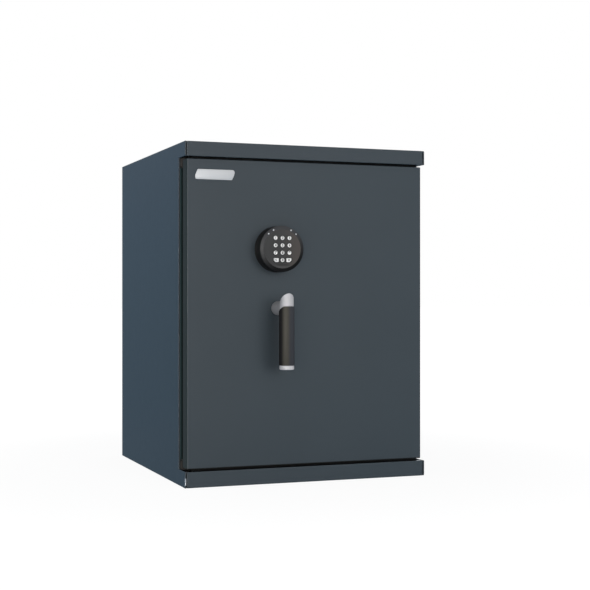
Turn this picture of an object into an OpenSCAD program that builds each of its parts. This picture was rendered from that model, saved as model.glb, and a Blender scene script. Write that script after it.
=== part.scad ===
// Safe cabinet with a hinged door, a keypad lock and a turning handle that throws three bolts.
// The origin is the centre of the underside, +Z is up, +X is right and the door faces -Y.
// Inside the modules, places are measured from the left side, from the front of the lips and
// from the underside, and in_cabinet() moves them to the origin.

/* [Cabinet] */
// Width of the cabinet
cab_w = 496; // [460:1:600]
// Height of the cabinet
cab_h = 650; // [620:1:780]
// Depth from the front of the lips to the back panel
cab_d = 525; // [460:1:640]
// Thickness of the outer steel sheet
skin_t = 3; // [2:0.5:4]
// Rounding of the right side sheet's long outer edges
skin_round = 2.6; // [1:0.1:2.8]
// Thickness of a wall, from its outer face to its inner face
wall_t = 58; // [54:1:66]
// Thickness of the inner liner sheet
liner_t = 2; // [1:0.5:3]
// Height of the folded lip above the door
top_lip_h = 28; // [24:1:40]
// Height of the folded lip below the door
base_lip_h = 30; // [24:1:40]
// Depth of the return fold on each lip
lip_fold_d = 12; // [6:1:20]
// Open seam between the end of a lip and the side panel
lip_seam = 1; // [0.5:0.1:2]
// Distance from each side to the anchor holes
anchor_in_x = 110; // [90:1:150]
// Distance from the front and the back to the anchor holes
anchor_in_y = 130; // [110:1:180]
// Radius of the anchor holes
anchor_r = 7; // [5:0.5:9]
// Wall of the anchor sleeves
sleeve_t = 3; // [2:0.5:5]

/* [Door] */
// Distance of the door's face behind the front of the lips
door_setback = 8; // [4:1:12]
// Gap between the door and each lip
door_gap = 4; // [3:0.5:6]
// Distance of the door's hinge edge from the left side
door_inset = 5; // [4:0.5:7]
// Distance of the door's free edge from the right side
free_inset = 4; // [3.5:0.5:7]
// Depth of the door pan
pan_d = 26; // [22:1:32]
// Thickness of the door plate
pan_t = 3; // [2:0.5:4]
// Radius of the door's upright front edges
edge_r = 3; // [2:0.5:6]
// Thickness of the sheet that closes the pan
back_t = 2; // [1:0.5:3]
// Depth of the plug ring behind the pan
plug_d = 46; // [42:1:52]
// Thickness of the plug ring
plug_t = 4; // [3:0.5:6]
// Gap between the plug and the door frame
plug_gap = 4; // [3:0.5:6]
// Thickness of the plug's cover
cover_t = 2; // [1:0.5:3]
// Radius of the cover screws' heads
cover_screw_r = 4; // [3:0.5:5]
// Distance of the cover screws from the plug's edges
cover_screw_in = 14; // [12:1:20]
// Depth of the bosses that the cover screws turn into
boss_d = 12; // [8:1:16]

/* [Hinge] */
// Radius of the hinge tube
hinge_r = 7; // [6:0.5:8]
// Radius of the hinge pins
pin_r = 3.5; // [2.5:0.25:4]
// Height of the hinge blocks
block_h = 18; // [14:1:24]
// Gap between a hinge block and the hinge tube
block_gap = 2; // [1:0.5:4]
// Length of a hinge pin inside the tube
pin_reach = 30; // [20:1:50]

/* [Bolts] */
// Radius of the locking bolts
bolt_r = 9; // [7:0.5:10]
// Distance of the outer bolts from the top and bottom of the door
bolt_in = 115; // [90:1:160]
// Travel of the bolts
bolt_travel = 22; // [16:1:24]
// Depth of the carriage bar
bar_d = 18; // [14:1:20]
// Width of the carriage bar
bar_w = 16; // [12:1:22]
// Thickness of the carriage arm
arm_t = 5; // [4:0.5:7]
// Height of the carriage arm below the handle's axis
arm_drop = 31; // [29:1:38]
// Length of the bolt guides
guide_l = 7; // [5:0.5:10]
// Radius of the crank pin
crank_pin_r = 4; // [3:0.5:5]
// Thickness of the crank plate
crank_t = 5; // [4:0.5:7]
// Height of a dog on the hinge side
dog_h = 24; // [16:1:34]
// Depth of a dog
dog_d = 12; // [8:1:13]
// Distance of the dogs behind the door frame
dog_setback = 12; // [11:1:16]
// How far a dog reaches behind the door frame
dog_hold = 4.5; // [2:0.5:6]

/* [Lock] */
// Width of the lock case
lock_w = 52; // [44:1:64]
// Height of the lock case
lock_h = 80; // [60:1:100]
// Depth of the lock case
lock_d = 28; // [27:1:32]
// Width of the blocking bolt
lock_bolt_w = 8; // [6:0.5:10]
// Depth of the blocking bolt
lock_bolt_d = 11; // [8:0.5:13]
// Throw of the blocking bolt
lock_throw = 8; // [6:0.5:10]
// Width of the carriage lug that the blocking bolt holds
lug_w = 6; // [4:0.5:8]

/* [Keypad] */
// Distance of the keypad's axis from the left side
keypad_x = 184.3; // [150:0.1:240]
// Distance of the keypad's axis below the top of the cabinet
keypad_down = 200.8; // [180:0.1:230]
// Radius of the keypad's base
keypad_r = 44.3; // [44.2:0.1:52]
// Thickness of the keypad's base
keypad_base_t = 3; // [2:0.5:4]
// Radius of the keypad's rim
rim_r = 43.8; // [42:0.1:44]
// Height of the rim in front of the door
rim_p = 30.6; // [30:0.1:32.5]
// Radius of the keypad's flat face
face_r = 38; // [36.5:0.1:39]
// Height of the flat face in front of the door
face_p = 33.6; // [33:0.1:36]
// Wall of the keypad housing
housing_t = 2.5; // [1.5:0.5:3]
// Thickness of the ledge behind the face plate
ledge_t = 1.5; // [1:0.25:2]
// Thickness of the face plate
face_t = 2.5; // [1.5:0.25:3]
// Distance between the keys
key_pitch = 14; // [13:0.25:15]
// Distance of the middle of the keys below the keypad's axis
key_drop = 0.4; // [0:0.1:2]
// Radius of a key
key_r = 3.9; // [3.5:0.05:4.6]
// How far a key stands out of the face
key_proud = 1.2; // [1:0.1:2]
// Travel of a key
key_travel = 1; // [0.5:0.1:1.2]
// Thickness of the flange behind a key
flange_t = 0.9; // [0.6:0.1:1.2]
// Width of the flange round a key
flange_w = 1.2; // [0.6:0.1:1.5]
// Width of the two keys beside the zero
wide_key_w = 10.2; // [9:0.1:11]
// Thickness of the key mat
mat_t = 1.5; // [1:0.1:2]
// Thickness of the circuit board
board_t = 1.5; // [1:0.1:2]
// Radius of the lamps
lamp_r = 1.4; // [0.8:0.1:1.5]
// Distance of the lamps from the keypad's axis
lamp_out = 39.5; // [39.3:0.1:41]
// Length of the battery
battery_w = 48.5; // [40:0.5:50]
// Height of the battery
battery_h = 26.5; // [20:0.5:28]
// Thickness of the battery
battery_d = 16.5; // [12:0.5:16.5]

/* [Handle] */
// Distance of the handle's axis from the left side
handle_x = 186.6; // [150:0.5:240]
// Distance of the handle's axis below the keypad's axis
handle_down = 113; // [105:0.5:130]
// Radius of the spindle
spindle_r = 8; // [6:0.5:9]
// Radius of the stem
stem_r = 13.4; // [13:0.1:16]
// Height of the grip's axis in front of the door
grip_p = 50.8; // [45:0.2:60]
// Radius of the upright tube
tube_r = 13; // [11:0.1:14]
// Top of the upright tube above the handle's axis
tube_up = 29.3; // [26:0.1:36]
// Radius of the grip sleeve
sleeve_r = 14.9; // [14.2:0.1:16]
// Top of the grip sleeve above the handle's axis
sleeve_up = 4; // [0:0.5:8]
// Angle at which the sleeve's top falls towards the door
sleeve_fall = 30.5; // [20:0.5:40]
// Depth of the level part of the sleeve's top, from its front
sleeve_level = 3.8; // [2:0.1:8]
// Bottom of the grip sleeve below the handle's axis
sleeve_down = 107.5; // [90:0.5:130]
// Radius of the end cap
cap_r = 13.9; // [13:0.1:14.4]
// Height of the end cap
cap_h = 8.2; // [6:0.2:12]
// Rounding of the end cap
cap_round = 2.5; // [1:0.5:4]

/* [Badge] */
// Distance of the badge from the left side
badge_x = 20.6; // [16:0.2:40]
// Distance of the badge's top below the top of the cabinet
badge_down = 51.3; // [46:0.1:70]
// Length of the badge
badge_w = 79.9; // [60:0.1:100]
// Height of the badge
badge_h = 19.3; // [14:0.1:26]
// Thickness of the badge
badge_t = 1.5; // [1:0.1:2.5]

/* [Shelf] */
// Height of the shelf above the underside
shelf_z = 330; // [150:1:480]
// Thickness of the shelf tray
shelf_t = 20; // [14:1:30]
// Thickness of the shelf sheet
shelf_sheet_t = 1.5; // [1:0.5:3]
// Gap between the shelf and the standards
shelf_gap = 0.6; // [0.3:0.1:2]
// Distance from the door plug to the shelf
shelf_back = 16; // [10:1:60]
// Thickness of the slotted standards
standard_t = 3; // [2:0.5:5]
// Width of the slotted standards
standard_w = 16; // [12:1:24]
// Distance of the standards from the ends of the shelf
standard_in = 50; // [30:1:90]
// Distance between the slots of a standard
slot_pitch = 25; // [20:1:40]

/* [Clearances] */
// Running clearance of shafts, pins and bolts, on the radius
run_gap = 0.06; // [0.03:0.01:0.1]
// Gap between surfaces that pass each other
pass_gap = 0.5; // [0.3:0.1:1]
// Gap round a key
key_gap = 0.2; // [0.15:0.05:0.3]

/* [Hidden] */
$fn = 96;

// Length by which a cut runs past the surface that it opens
cut = 1;
// Fit of two pieces that are fixed in each other, on the radius
fixed_gap = 0.02;

// Door pan
door_x1 = door_inset;
door_x2 = cab_w - free_inset;
door_z1 = base_lip_h + door_gap;
door_z2 = cab_h - top_lip_h - door_gap;
door_back = door_setback + pan_d;

// Hinge
hinge_in = 2;
hinge_x = hinge_in + hinge_r;
hinge_y = door_back + pass_gap + hinge_r;
block_wall = 1;
block_side = hinge_r + block_wall;
web_front = hinge_y + block_side;
block_z1 = base_lip_h;
block_z2 = cab_h - top_lip_h;
tube_z1 = block_z1 + block_h + block_gap;
tube_z2 = block_z2 - block_h - block_gap;
collar_gap = 0.3;
collar_in = 1;
collar_r = hinge_r - collar_in;
knuckle_flat = 1;

// Door frame and walls
frame_gap = 2;
web_t = 2.5;
frame_front = door_back + frame_gap;
frame_back = web_front + web_t;
leaf_gap = 6;
frame_x = hinge_x + hinge_r + leaf_gap;
left_notch = web_front - web_t;
right_notch = door_back + frame_gap / 2;
opening_x1 = wall_t;
opening_x2 = cab_w - wall_t;
opening_z1 = wall_t;
opening_z2 = cab_h - wall_t;
opening_back = cab_d - wall_t;
fill_t = wall_t - skin_t - liner_t;

// Door plug
plug_x1 = opening_x1 + plug_gap;
plug_x2 = opening_x2 - plug_gap;
plug_z1 = opening_z1 + plug_gap;
plug_z2 = opening_z2 - plug_gap;
plug_back = door_back + plug_d;
cover_back = plug_back + cover_t;
screw_head_t = 2;
boss_floor = 2;

// Keypad and handle
keypad_z = cab_h - keypad_down;
handle_z = keypad_z - handle_down;
grip_y = door_setback - grip_p;
grip_z1 = handle_z - sleeve_down - cap_h;
spindle_in_stem = 25;
spindle_front = door_setback - spindle_in_stem;
bush_wall = 5;
bush_r = spindle_r + bush_wall;
bush_flange_t = 3;
bush_flange_w = 5;
bush_flange_r = bush_r + bush_flange_w;

// Bolts, measured with the bolts drawn back
bolt_behind = 3;
bolt_y = frame_back + bolt_behind + bolt_r;
tip_in = 1;
bolt_tip = plug_x2 - tip_in;
bar_stop = 1;
bar_x2 = plug_x2 - guide_l - bar_stop - bolt_travel;
pocket_gap = bolt_behind - 1;
bar_x1 = bar_x2 - bar_w;
bolt_zs = [door_z1 + bolt_in, (door_z1 + door_z2) / 2, door_z2 - bolt_in];
bolt_spigot_r = bolt_r / 2;
guide_wall = 3;
guide_r = bolt_r + guide_wall;
guide_flange_w = 2;
guide_flange_r = guide_r + guide_flange_w;
crank_throw = bolt_travel / sqrt(2);
crank_pin_x = handle_x - bolt_travel / 2;
crank_pin_z = handle_z - bolt_travel / 2;
arm_y1 = bolt_y - bar_d / 2;
arm_y2 = arm_y1 + arm_t;
arm_z1 = handle_z - arm_drop;
arm_up = 4;
arm_z2 = handle_z + arm_up;
arm_side = 8;
arm_x1 = crank_pin_x - crank_pin_r - arm_side;
crank_gap = 2.5;
crank_y2 = arm_y1 - crank_gap;
crank_y1 = crank_y2 - crank_t;
slot_play = 0.7;
slot_end = 1;
crank_rim = 3;
crank_hub_wall = 5;
crank_hub_r = spindle_r + crank_hub_wall;
pin_past_arm = 2;
bar_past_bolt = 6;
dog_x = opening_x1 - dog_hold;
dog_y = frame_back + dog_setback;
dog_swing_gap = 1;
dog_swing_r = norm([opening_x1 - hinge_x, frame_back - hinge_y]) + dog_swing_gap;
dog_pocket = 2;

// Lock, with the blocking bolt drawn up
lock_to_bar = 30;
lock_x = bar_x1 - lock_to_bar - lock_w / 2;
lug_base = 4;
lug_z = arm_z2 + lock_throw + lug_base;
lug_clear = 2.5;
lock_bolt_tip = lug_z + lug_clear;
lock_bolt_show = 1.5;
lock_z = lock_bolt_tip + lock_bolt_show;
lock_bolt_y = arm_y2 - pass_gap;
lock_bolt_l = 36;
lock_end_gap = 0.3;
lug_gap = 1;
lug_x = lock_x + lock_bolt_w / 2 + lug_gap - bolt_travel;

// Keypad depths, measured in front of the door's face
face_back_p = face_p - face_t;
flange_front_p = face_back_p - key_gap;
key_back_p = flange_front_p - flange_t;
mat_gap = 0.1;
mat_front_p = key_back_p - key_travel - mat_gap;
board_front_p = mat_front_p - mat_t;
board_back_p = board_front_p - board_t;
board_in = 5;
board_r = face_r - board_in;
post_r = 2.5;
post_in = 4;
lamp_angles = [45.7, 63.4, 116.6, 134.3];
shoulder_slope = (face_p - rim_p) / (rim_r - face_r);
lamp_p = face_p - (lamp_out - face_r) * shoulder_slope;
lamp_depth = 1.2;
lamp_proud = 1;
key_corner = 0.8;
cable_r = 6;
housing_in = 0.3;
housing_r = keypad_r - housing_in;
seat_edge = 1;
seat_r = face_r - seat_edge;

// Shelf
shelf_x1 = opening_x1 + standard_t + shelf_gap;
shelf_x2 = opening_x2 - standard_t - shelf_gap;
shelf_y1 = cover_back + screw_head_t + shelf_back;
shelf_rear_gap = 12;
shelf_y2 = opening_back - shelf_rear_gap;
standard_ys = [shelf_y1 + standard_in, shelf_y2 - standard_in];
standard_end = 30;
standard_z1 = opening_z1 + standard_end;
standard_z2 = opening_z2 - standard_end;
slot_h = 8;
slot_w = 6;
slot_below_shelf = 3;
slot_zs = [
    for (i = [-20 : 20])
        let (z = shelf_z - slot_below_shelf + i * slot_pitch)
            if (z - slot_h > standard_z1 + slot_w && z < standard_z2 - slot_w) z
];
hook_gap = 0.3;
clip_t = 2;
clip_h = 12;
clip_reach = 14;

module in_cabinet() {
    translate([-cab_w / 2, -cab_d / 2, 0]) children();
}

module span(low, high) {
    translate(low) cube(high - low);
}

module rod_x(x1, x2, y, z, r) {
    translate([x1, y, z]) rotate([0, 90, 0]) cylinder(r = r, h = x2 - x1);
}

module rod_y(x, y1, y2, z, r) {
    translate([x, y1, z]) rotate([-90, 0, 0]) cylinder(r = r, h = y2 - y1);
}

module rod_z(x, y, z1, z2, r) {
    translate([x, y, z1]) cylinder(r = r, h = z2 - z1);
}

// Side sheet from the lips to the back, notched between its two ears
module side_panel(x, notch) {
    in_cabinet() difference() {
        span([x, 0, 0], [x + skin_t, cab_d, cab_h]);
        span([x - cut, -cut, base_lip_h], [x + skin_t + cut, notch, cab_h - top_lip_h]);
    }
}

module side_panel_left() {
    color([0.21, 0.26, 0.30]) side_panel(0, left_notch);
}

// Sharp corner outside a rounded long edge, for the edge at the sheet's top or bottom
module outside_corner(z, side) {
    x = cab_w - skin_round;
    difference() {
        translate([x, -cut, z - side * skin_round + min(side, 0) * (skin_round + cut)])
            cube([skin_round + cut, cab_d + 2 * cut, skin_round + cut]);
        rod_y(x, -2 * cut, cab_d + 2 * cut, z - side * skin_round, skin_round);
    }
}

module side_panel_right() {
    color([0.21, 0.26, 0.30]) difference() {
        side_panel(cab_w - skin_t, right_notch);
        in_cabinet() outside_corner(cab_h, 1);
        in_cabinet() outside_corner(0, -1);
    }
}

module back_panel() {
    color([0.21, 0.26, 0.30]) in_cabinet()
        span([skin_t, cab_d - skin_t, skin_t], [cab_w - skin_t, cab_d, cab_h - skin_t]);
}

// Flat sheet between the sides, with its front edge folded into a lip
module lipped_sheet(sheet_z, lip_z1, lip_z2, fold_z) {
    lip_x1 = skin_t + lip_seam;
    lip_x2 = cab_w - skin_t - lip_seam;
    span([skin_t, skin_t, sheet_z], [cab_w - skin_t, cab_d, sheet_z + skin_t]);
    span([lip_x1, 0, lip_z1], [lip_x2, skin_t, lip_z2]);
    span([lip_x1, 0, fold_z], [lip_x2, lip_fold_d, fold_z + skin_t]);
}

module top_panel() {
    color([0.24, 0.28, 0.32]) in_cabinet()
        lipped_sheet(cab_h - skin_t, cab_h - top_lip_h, cab_h, cab_h - top_lip_h);
}

// Places of the four anchor holes
module at_anchors() {
    for (x = [anchor_in_x, cab_w - anchor_in_x]) {
        for (y = [anchor_in_y, cab_d - anchor_in_y]) {
            translate([x, y, 0]) children();
        }
    }
}

module base_panel() {
    color([0.24, 0.28, 0.32]) in_cabinet() difference() {
        lipped_sheet(0, 0, base_lip_h, base_lip_h - skin_t);
        at_anchors() translate([0, 0, -cut]) cylinder(r = anchor_r, h = skin_t + 2 * cut);
    }
}

// Hinge side bar, with a web that closes the space behind the hinge tube
module frame_left() {
    color([0.19, 0.22, 0.25]) in_cabinet() union() {
        span([frame_x, frame_front, skin_t], [opening_x1, frame_back, cab_h - skin_t]);
        span([skin_t, web_front, skin_t], [frame_x, frame_back, cab_h - skin_t]);
    }
}

module frame_right() {
    color([0.19, 0.22, 0.25]) in_cabinet()
        span([opening_x2, frame_front, skin_t], [cab_w - skin_t, frame_back, cab_h - skin_t]);
}

module frame_top() {
    color([0.19, 0.22, 0.25]) in_cabinet()
        span([opening_x1, frame_front, opening_z2], [opening_x2, frame_back, cab_h - skin_t]);
}

module frame_base() {
    color([0.19, 0.22, 0.25]) in_cabinet()
        span([opening_x1, frame_front, skin_t], [opening_x2, frame_back, opening_z1]);
}

// Recesses in the left wall that the dogs lie in
module dog_recesses(x1, x2) {
    for (z = bolt_zs) {
        span([x1, frame_back - cut, z - dog_h / 2 - plug_gap],
            [x2, dog_y + dog_d + plug_gap, z + dog_h / 2 + plug_gap]);
    }
}

// Pockets in the right wall that the bolts enter
module bolt_pockets(x1, x2) {
    for (z = bolt_zs) rod_x(x1, x2, bolt_y, z, bolt_r + pocket_gap);
}

// Cast fire fill of one wall, as far as the liner
module fill_left() {
    color([0.72, 0.70, 0.66]) in_cabinet() difference() {
        span([skin_t, frame_back, skin_t],
            [skin_t + fill_t, cab_d - skin_t, cab_h - skin_t]);
        dog_recesses(dog_x - dog_pocket, opening_x1);
    }
}

module fill_right() {
    color([0.72, 0.70, 0.66]) in_cabinet() difference() {
        span([cab_w - skin_t - fill_t, frame_back, skin_t],
            [cab_w - skin_t, cab_d - skin_t, cab_h - skin_t]);
        bolt_pockets(opening_x2, bolt_tip + bolt_travel + pocket_gap);
    }
}

module fill_top() {
    color([0.72, 0.70, 0.66]) in_cabinet()
        span([skin_t + fill_t, frame_back, cab_h - skin_t - fill_t],
            [cab_w - skin_t - fill_t, cab_d - skin_t, cab_h - skin_t]);
}

module fill_base() {
    color([0.72, 0.70, 0.66]) in_cabinet() difference() {
        span([skin_t + fill_t, frame_back, skin_t],
            [cab_w - skin_t - fill_t, cab_d - skin_t, skin_t + fill_t]);
        at_anchors() cylinder(r = anchor_r + sleeve_t, h = wall_t + cut);
    }
}

module fill_back() {
    color([0.72, 0.70, 0.66]) in_cabinet()
        span([skin_t + fill_t, opening_back + liner_t, skin_t + fill_t],
            [cab_w - skin_t - fill_t, cab_d - skin_t, cab_h - skin_t - fill_t]);
}

// Inner sheet box, open at the door frame
module liner() {
    color([0.60, 0.62, 0.63]) in_cabinet() difference() {
        span([opening_x1 - liner_t, frame_back, opening_z1 - liner_t],
            [opening_x2 + liner_t, opening_back + liner_t, opening_z2 + liner_t]);
        span([opening_x1, frame_back - cut, opening_z1], [opening_x2, opening_back, opening_z2]);
        dog_recesses(opening_x1 - liner_t - cut, opening_x1 + cut);
        bolt_pockets(opening_x2 - cut, opening_x2 + liner_t + cut);
        at_anchors() cylinder(r = anchor_r + sleeve_t, h = wall_t + cut);
    }
}

module anchor_sleeves() {
    color([0.70, 0.71, 0.72]) in_cabinet() at_anchors() difference() {
        translate([0, 0, skin_t]) cylinder(r = anchor_r + sleeve_t, h = wall_t - skin_t);
        cylinder(r = anchor_r, h = wall_t + cut);
    }
}

// Knuckle that holds a hinge pin, with a foot on the frame's web
module hinge_block(z) {
    difference() {
        union() {
            rod_z(hinge_x, hinge_y, z, z + block_h, hinge_r);
            span([hinge_x, hinge_y - hinge_r + knuckle_flat, z],
                [hinge_x + block_side, web_front, z + block_h]);
            span([skin_t, hinge_y, z], [hinge_x + block_side, web_front, z + block_h]);
        }
        rod_z(hinge_x, hinge_y, z - cut, z + block_h + cut, pin_r + fixed_gap);
    }
}

module hinge_blocks() {
    color([0.14, 0.14, 0.13]) in_cabinet() {
        hinge_block(block_z1);
        hinge_block(block_z2 - block_h);
    }
}

// Pin with a thrust collar between its block and the tube
module hinge_pin() {
    cylinder(r = pin_r, h = block_h + block_gap + pin_reach);
    translate([0, 0, block_h]) cylinder(r = collar_r, h = block_gap - collar_gap);
}

module hinge_pins() {
    color([0.75, 0.76, 0.77]) in_cabinet() translate([hinge_x, hinge_y, 0]) {
        translate([0, 0, block_z1]) hinge_pin();
        translate([0, 0, block_z2]) rotate([180, 0, 0]) hinge_pin();
    }
}

// Folded tray: top sheet with its four edges turned down
module shelf() {
    color([0.66, 0.68, 0.69]) in_cabinet() difference() {
        span([shelf_x1, shelf_y1, shelf_z], [shelf_x2, shelf_y2, shelf_z + shelf_t]);
        span([shelf_x1 + shelf_sheet_t, shelf_y1 + shelf_sheet_t, shelf_z - cut],
            [shelf_x2 - shelf_sheet_t, shelf_y2 - shelf_sheet_t,
                shelf_z + shelf_t - shelf_sheet_t]);
    }
}

// Upright strips on the side walls, slotted at an even pitch
module shelf_standards() {
    color([0.72, 0.73, 0.74]) in_cabinet()
        for (x = [opening_x1, opening_x2 - standard_t], y = standard_ys) difference() {
            span([x, y - standard_w / 2, standard_z1],
                [x + standard_t, y + standard_w / 2, standard_z2]);
            for (z = slot_zs) {
                span([x - cut, y - slot_w / 2, z - slot_h],
                    [x + standard_t + cut, y + slot_w / 2, z]);
            }
        }
}

// Bracket hooked into a slot, with a tongue under the shelf
module shelf_clip() {
    hook_z = -slot_below_shelf - hook_gap;
    span([0, -slot_w / 2 + hook_gap, hook_z - slot_h + 2 * hook_gap],
        [standard_t + cut, slot_w / 2 - hook_gap, hook_z]);
    span([standard_t, -standard_w / 2, -clip_h],
        [standard_t + clip_t, standard_w / 2, 0]);
    span([standard_t, -standard_w / 2, -clip_t],
        [standard_t + clip_reach, standard_w / 2, 0]);
}

module shelf_clips() {
    color([0.80, 0.81, 0.82]) in_cabinet() for (y = standard_ys) {
        translate([opening_x1, y, shelf_z]) shelf_clip();
        translate([opening_x2, y, shelf_z]) mirror([1, 0, 0]) shelf_clip();
    }
}

// Outline of the door pan from above, its front corners round
module pan_outline() {
    translate([door_x1 + edge_r, door_setback])
        square([door_x2 - door_x1 - 2 * edge_r, pan_d]);
    translate([door_x1, door_setback + edge_r])
        square([door_x2 - door_x1, pan_d - edge_r]);
    for (x = [door_x1 + edge_r, door_x2 - edge_r]) {
        translate([x, door_setback + edge_r]) circle(r = edge_r);
    }
}

module door_plate() {
    color([0.26, 0.30, 0.33]) in_cabinet() difference() {
        translate([0, 0, door_z1]) linear_extrude(height = door_z2 - door_z1) pan_outline();
        span([door_x1 + pan_t, door_setback + pan_t, door_z1 + pan_t],
            [door_x2 - pan_t, door_back + cut, door_z2 - pan_t]);
        rod_y(handle_x, door_setback - cut, door_back, handle_z, spindle_r + pass_gap);
        rod_y(keypad_x, door_setback - cut, door_back, keypad_z, cable_r);
    }
}

module door_fill() {
    color([0.72, 0.70, 0.66]) in_cabinet() difference() {
        span([door_x1 + pan_t, door_setback + pan_t, door_z1 + pan_t],
            [door_x2 - pan_t, door_back - back_t, door_z2 - pan_t]);
        rod_y(handle_x, door_setback, door_back, handle_z, bush_r);
        rod_y(keypad_x, door_setback, door_back, keypad_z, cable_r);
    }
}

module door_back_sheet() {
    color([0.45, 0.48, 0.50]) in_cabinet() difference() {
        span([door_x1 + pan_t, door_back - back_t, door_z1 + pan_t],
            [door_x2 - pan_t, door_back, door_z2 - pan_t]);
        rod_y(handle_x, door_setback, door_back + cut, handle_z, bush_r);
        rod_y(keypad_x, door_setback, door_back + cut, keypad_z, cable_r);
    }
}

// Places of the cover screws along the top and bottom of the plug
module at_cover_screws() {
    xs = [plug_x1 + cover_screw_in, (plug_x1 + plug_x2) / 2, plug_x2 - cover_screw_in];
    for (x = xs, side = [-1, 1]) {
        z = side < 0 ? plug_z1 + cover_screw_in : plug_z2 - cover_screw_in;
        translate([x, plug_back, z]) rotate([-90, 0, 0]) children();
    }
}

// Four walls that step into the frame and house the bolt work, with the cover's bosses
module plug_ring() {
    boss = 2 * cover_screw_in;
    color([0.45, 0.48, 0.50]) in_cabinet() difference() {
        union() {
            difference() {
                span([plug_x1, door_back, plug_z1], [plug_x2, plug_back, plug_z2]);
                span([plug_x1 + plug_t, door_back - cut, plug_z1 + plug_t],
                    [plug_x2 - plug_t, plug_back + cut, plug_z2 - plug_t]);
            }
            at_cover_screws() translate([-boss / 2, -boss / 2, -boss_d])
                cube([boss, boss, boss_d]);
        }
        for (z = bolt_zs) rod_x(plug_x2 - plug_t - cut, plug_x2 + cut, bolt_y, z, guide_r);
        at_cover_screws() translate([0, 0, boss_floor - boss_d])
            cylinder(r = cover_screw_r / 2 + fixed_gap, h = boss_d);
    }
}

module plug_cover() {
    color([0.60, 0.62, 0.63]) in_cabinet() difference() {
        span([plug_x1, plug_back, plug_z1], [plug_x2, cover_back, plug_z2]);
        at_cover_screws() translate([0, 0, -cut])
            cylinder(r = cover_screw_r / 2 + fixed_gap, h = cover_t + 2 * cut);
    }
}

// Pan head screws, each with the threaded stub that it turns into
module cover_screws() {
    color([0.80, 0.81, 0.82]) in_cabinet() at_cover_screws() {
        translate([0, 0, cover_t]) cylinder(r = cover_screw_r, h = screw_head_t);
        translate([0, 0, boss_floor - boss_d])
            cylinder(r = cover_screw_r / 2, h = boss_d - boss_floor + cover_t);
    }
}

// Tube that turns on the pins, with the leaf that is welded to the pan
module hinge_tube() {
    color([0.14, 0.15, 0.16]) in_cabinet() difference() {
        union() {
            rod_z(hinge_x, hinge_y, tube_z1, tube_z2, hinge_r);
            span([hinge_x, door_back, tube_z1], [hinge_x + hinge_r, hinge_y, tube_z2]);
        }
        rod_z(hinge_x, hinge_y, tube_z1 - cut, tube_z2 + cut, pin_r + run_gap);
    }
}

// Fixed dogs that hold the hinge side behind the frame, cut back for the door's swing
module hinge_dogs() {
    color([0.75, 0.76, 0.77]) in_cabinet() difference() {
        for (z = bolt_zs) {
            span([dog_x, dog_y, z - dog_h / 2], [plug_x1, dog_y + dog_d, z + dog_h / 2]);
        }
        rod_z(hinge_x, hinge_y, door_z1, door_z2, dog_swing_r);
    }
}

module bolt_guides() {
    color([0.78, 0.66, 0.38]) in_cabinet() for (z = bolt_zs) difference() {
        union() {
            rod_x(plug_x2 - plug_t, plug_x2, bolt_y, z, guide_r - fixed_gap);
            rod_x(plug_x2 - guide_l, plug_x2 - plug_t, bolt_y, z, guide_flange_r);
        }
        rod_x(plug_x2 - guide_l - cut, plug_x2 + cut, bolt_y, z, bolt_r + run_gap);
    }
}

// Cast case with the channel of the blocking bolt
module lock_case() {
    color([0.62, 0.63, 0.64]) in_cabinet() difference() {
        span([lock_x - lock_w / 2, door_back, lock_z],
            [lock_x + lock_w / 2, door_back + lock_d, lock_z + lock_h]);
        span([lock_x - lock_bolt_w / 2 - run_gap, lock_bolt_y - lock_bolt_d - run_gap, lock_z - cut],
            [lock_x + lock_bolt_w / 2 + run_gap, lock_bolt_y + run_gap,
                lock_bolt_tip + lock_bolt_l + lock_end_gap]);
    }
}

module spindle_bush() {
    color([0.78, 0.66, 0.38]) in_cabinet() difference() {
        union() {
            rod_y(handle_x, door_setback + pan_t, door_back, handle_z, bush_r - fixed_gap);
            rod_y(handle_x, door_back, door_back + bush_flange_t, handle_z, bush_flange_r);
        }
        rod_y(handle_x, door_setback, door_back + bush_flange_t + cut, handle_z,
            spindle_r + run_gap);
    }
}

// Moves a shape that is drawn along +Z to the keypad's axis, standing out of the door
module on_keypad() {
    in_cabinet() translate([keypad_x, door_setback, keypad_z]) rotate([90, 0, 0]) children();
}

module keypad_base() {
    color([0.05, 0.05, 0.05]) on_keypad() difference() {
        cylinder(r = keypad_r, h = keypad_base_t);
        translate([0, 0, -cut]) cylinder(r = cable_r, h = keypad_base_t + 2 * cut);
    }
}

// Outline of the housing, turned about the keypad's axis
module keypad_housing() {
    color([0.06, 0.06, 0.06]) on_keypad() difference() {
        rotate_extrude() polygon([
            [housing_r - housing_t, keypad_base_t], [housing_r, keypad_base_t],
            [rim_r, rim_p], [face_r, face_p], [seat_r, face_p], [seat_r, face_back_p],
            [seat_r - housing_t, face_back_p], [seat_r - housing_t, face_back_p - ledge_t],
            [rim_r - housing_t, face_back_p - ledge_t]
        ]);
        at_lamps() translate([0, 0, -lamp_depth])
            cylinder(r = lamp_r + fixed_gap, h = lamp_depth + cut);
    }
}

// Places of the four lamps, square to the shoulder of the housing
module at_lamps() {
    for (a = lamp_angles) {
        rotate([0, 0, a]) translate([lamp_out, 0, lamp_p])
            rotate([0, atan(shoulder_slope), 0]) children();
    }
}

module keypad_lamps() {
    color([0.85, 0.86, 0.87]) on_keypad() at_lamps()
        translate([0, 0, -lamp_depth]) cylinder(r = lamp_r, h = lamp_depth + lamp_proud);
}

// Disc that guides the keys
module keypad_face() {
    color([0.14, 0.14, 0.14]) on_keypad() difference() {
        translate([0, 0, face_back_p]) cylinder(r = seat_r - fixed_gap, h = face_t);
        for (i = [0 : 11]) at_key(i) translate([0, 0, face_back_p - cut])
            linear_extrude(height = face_t + 2 * cut) key_outline(i, key_gap);
    }
}

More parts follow.
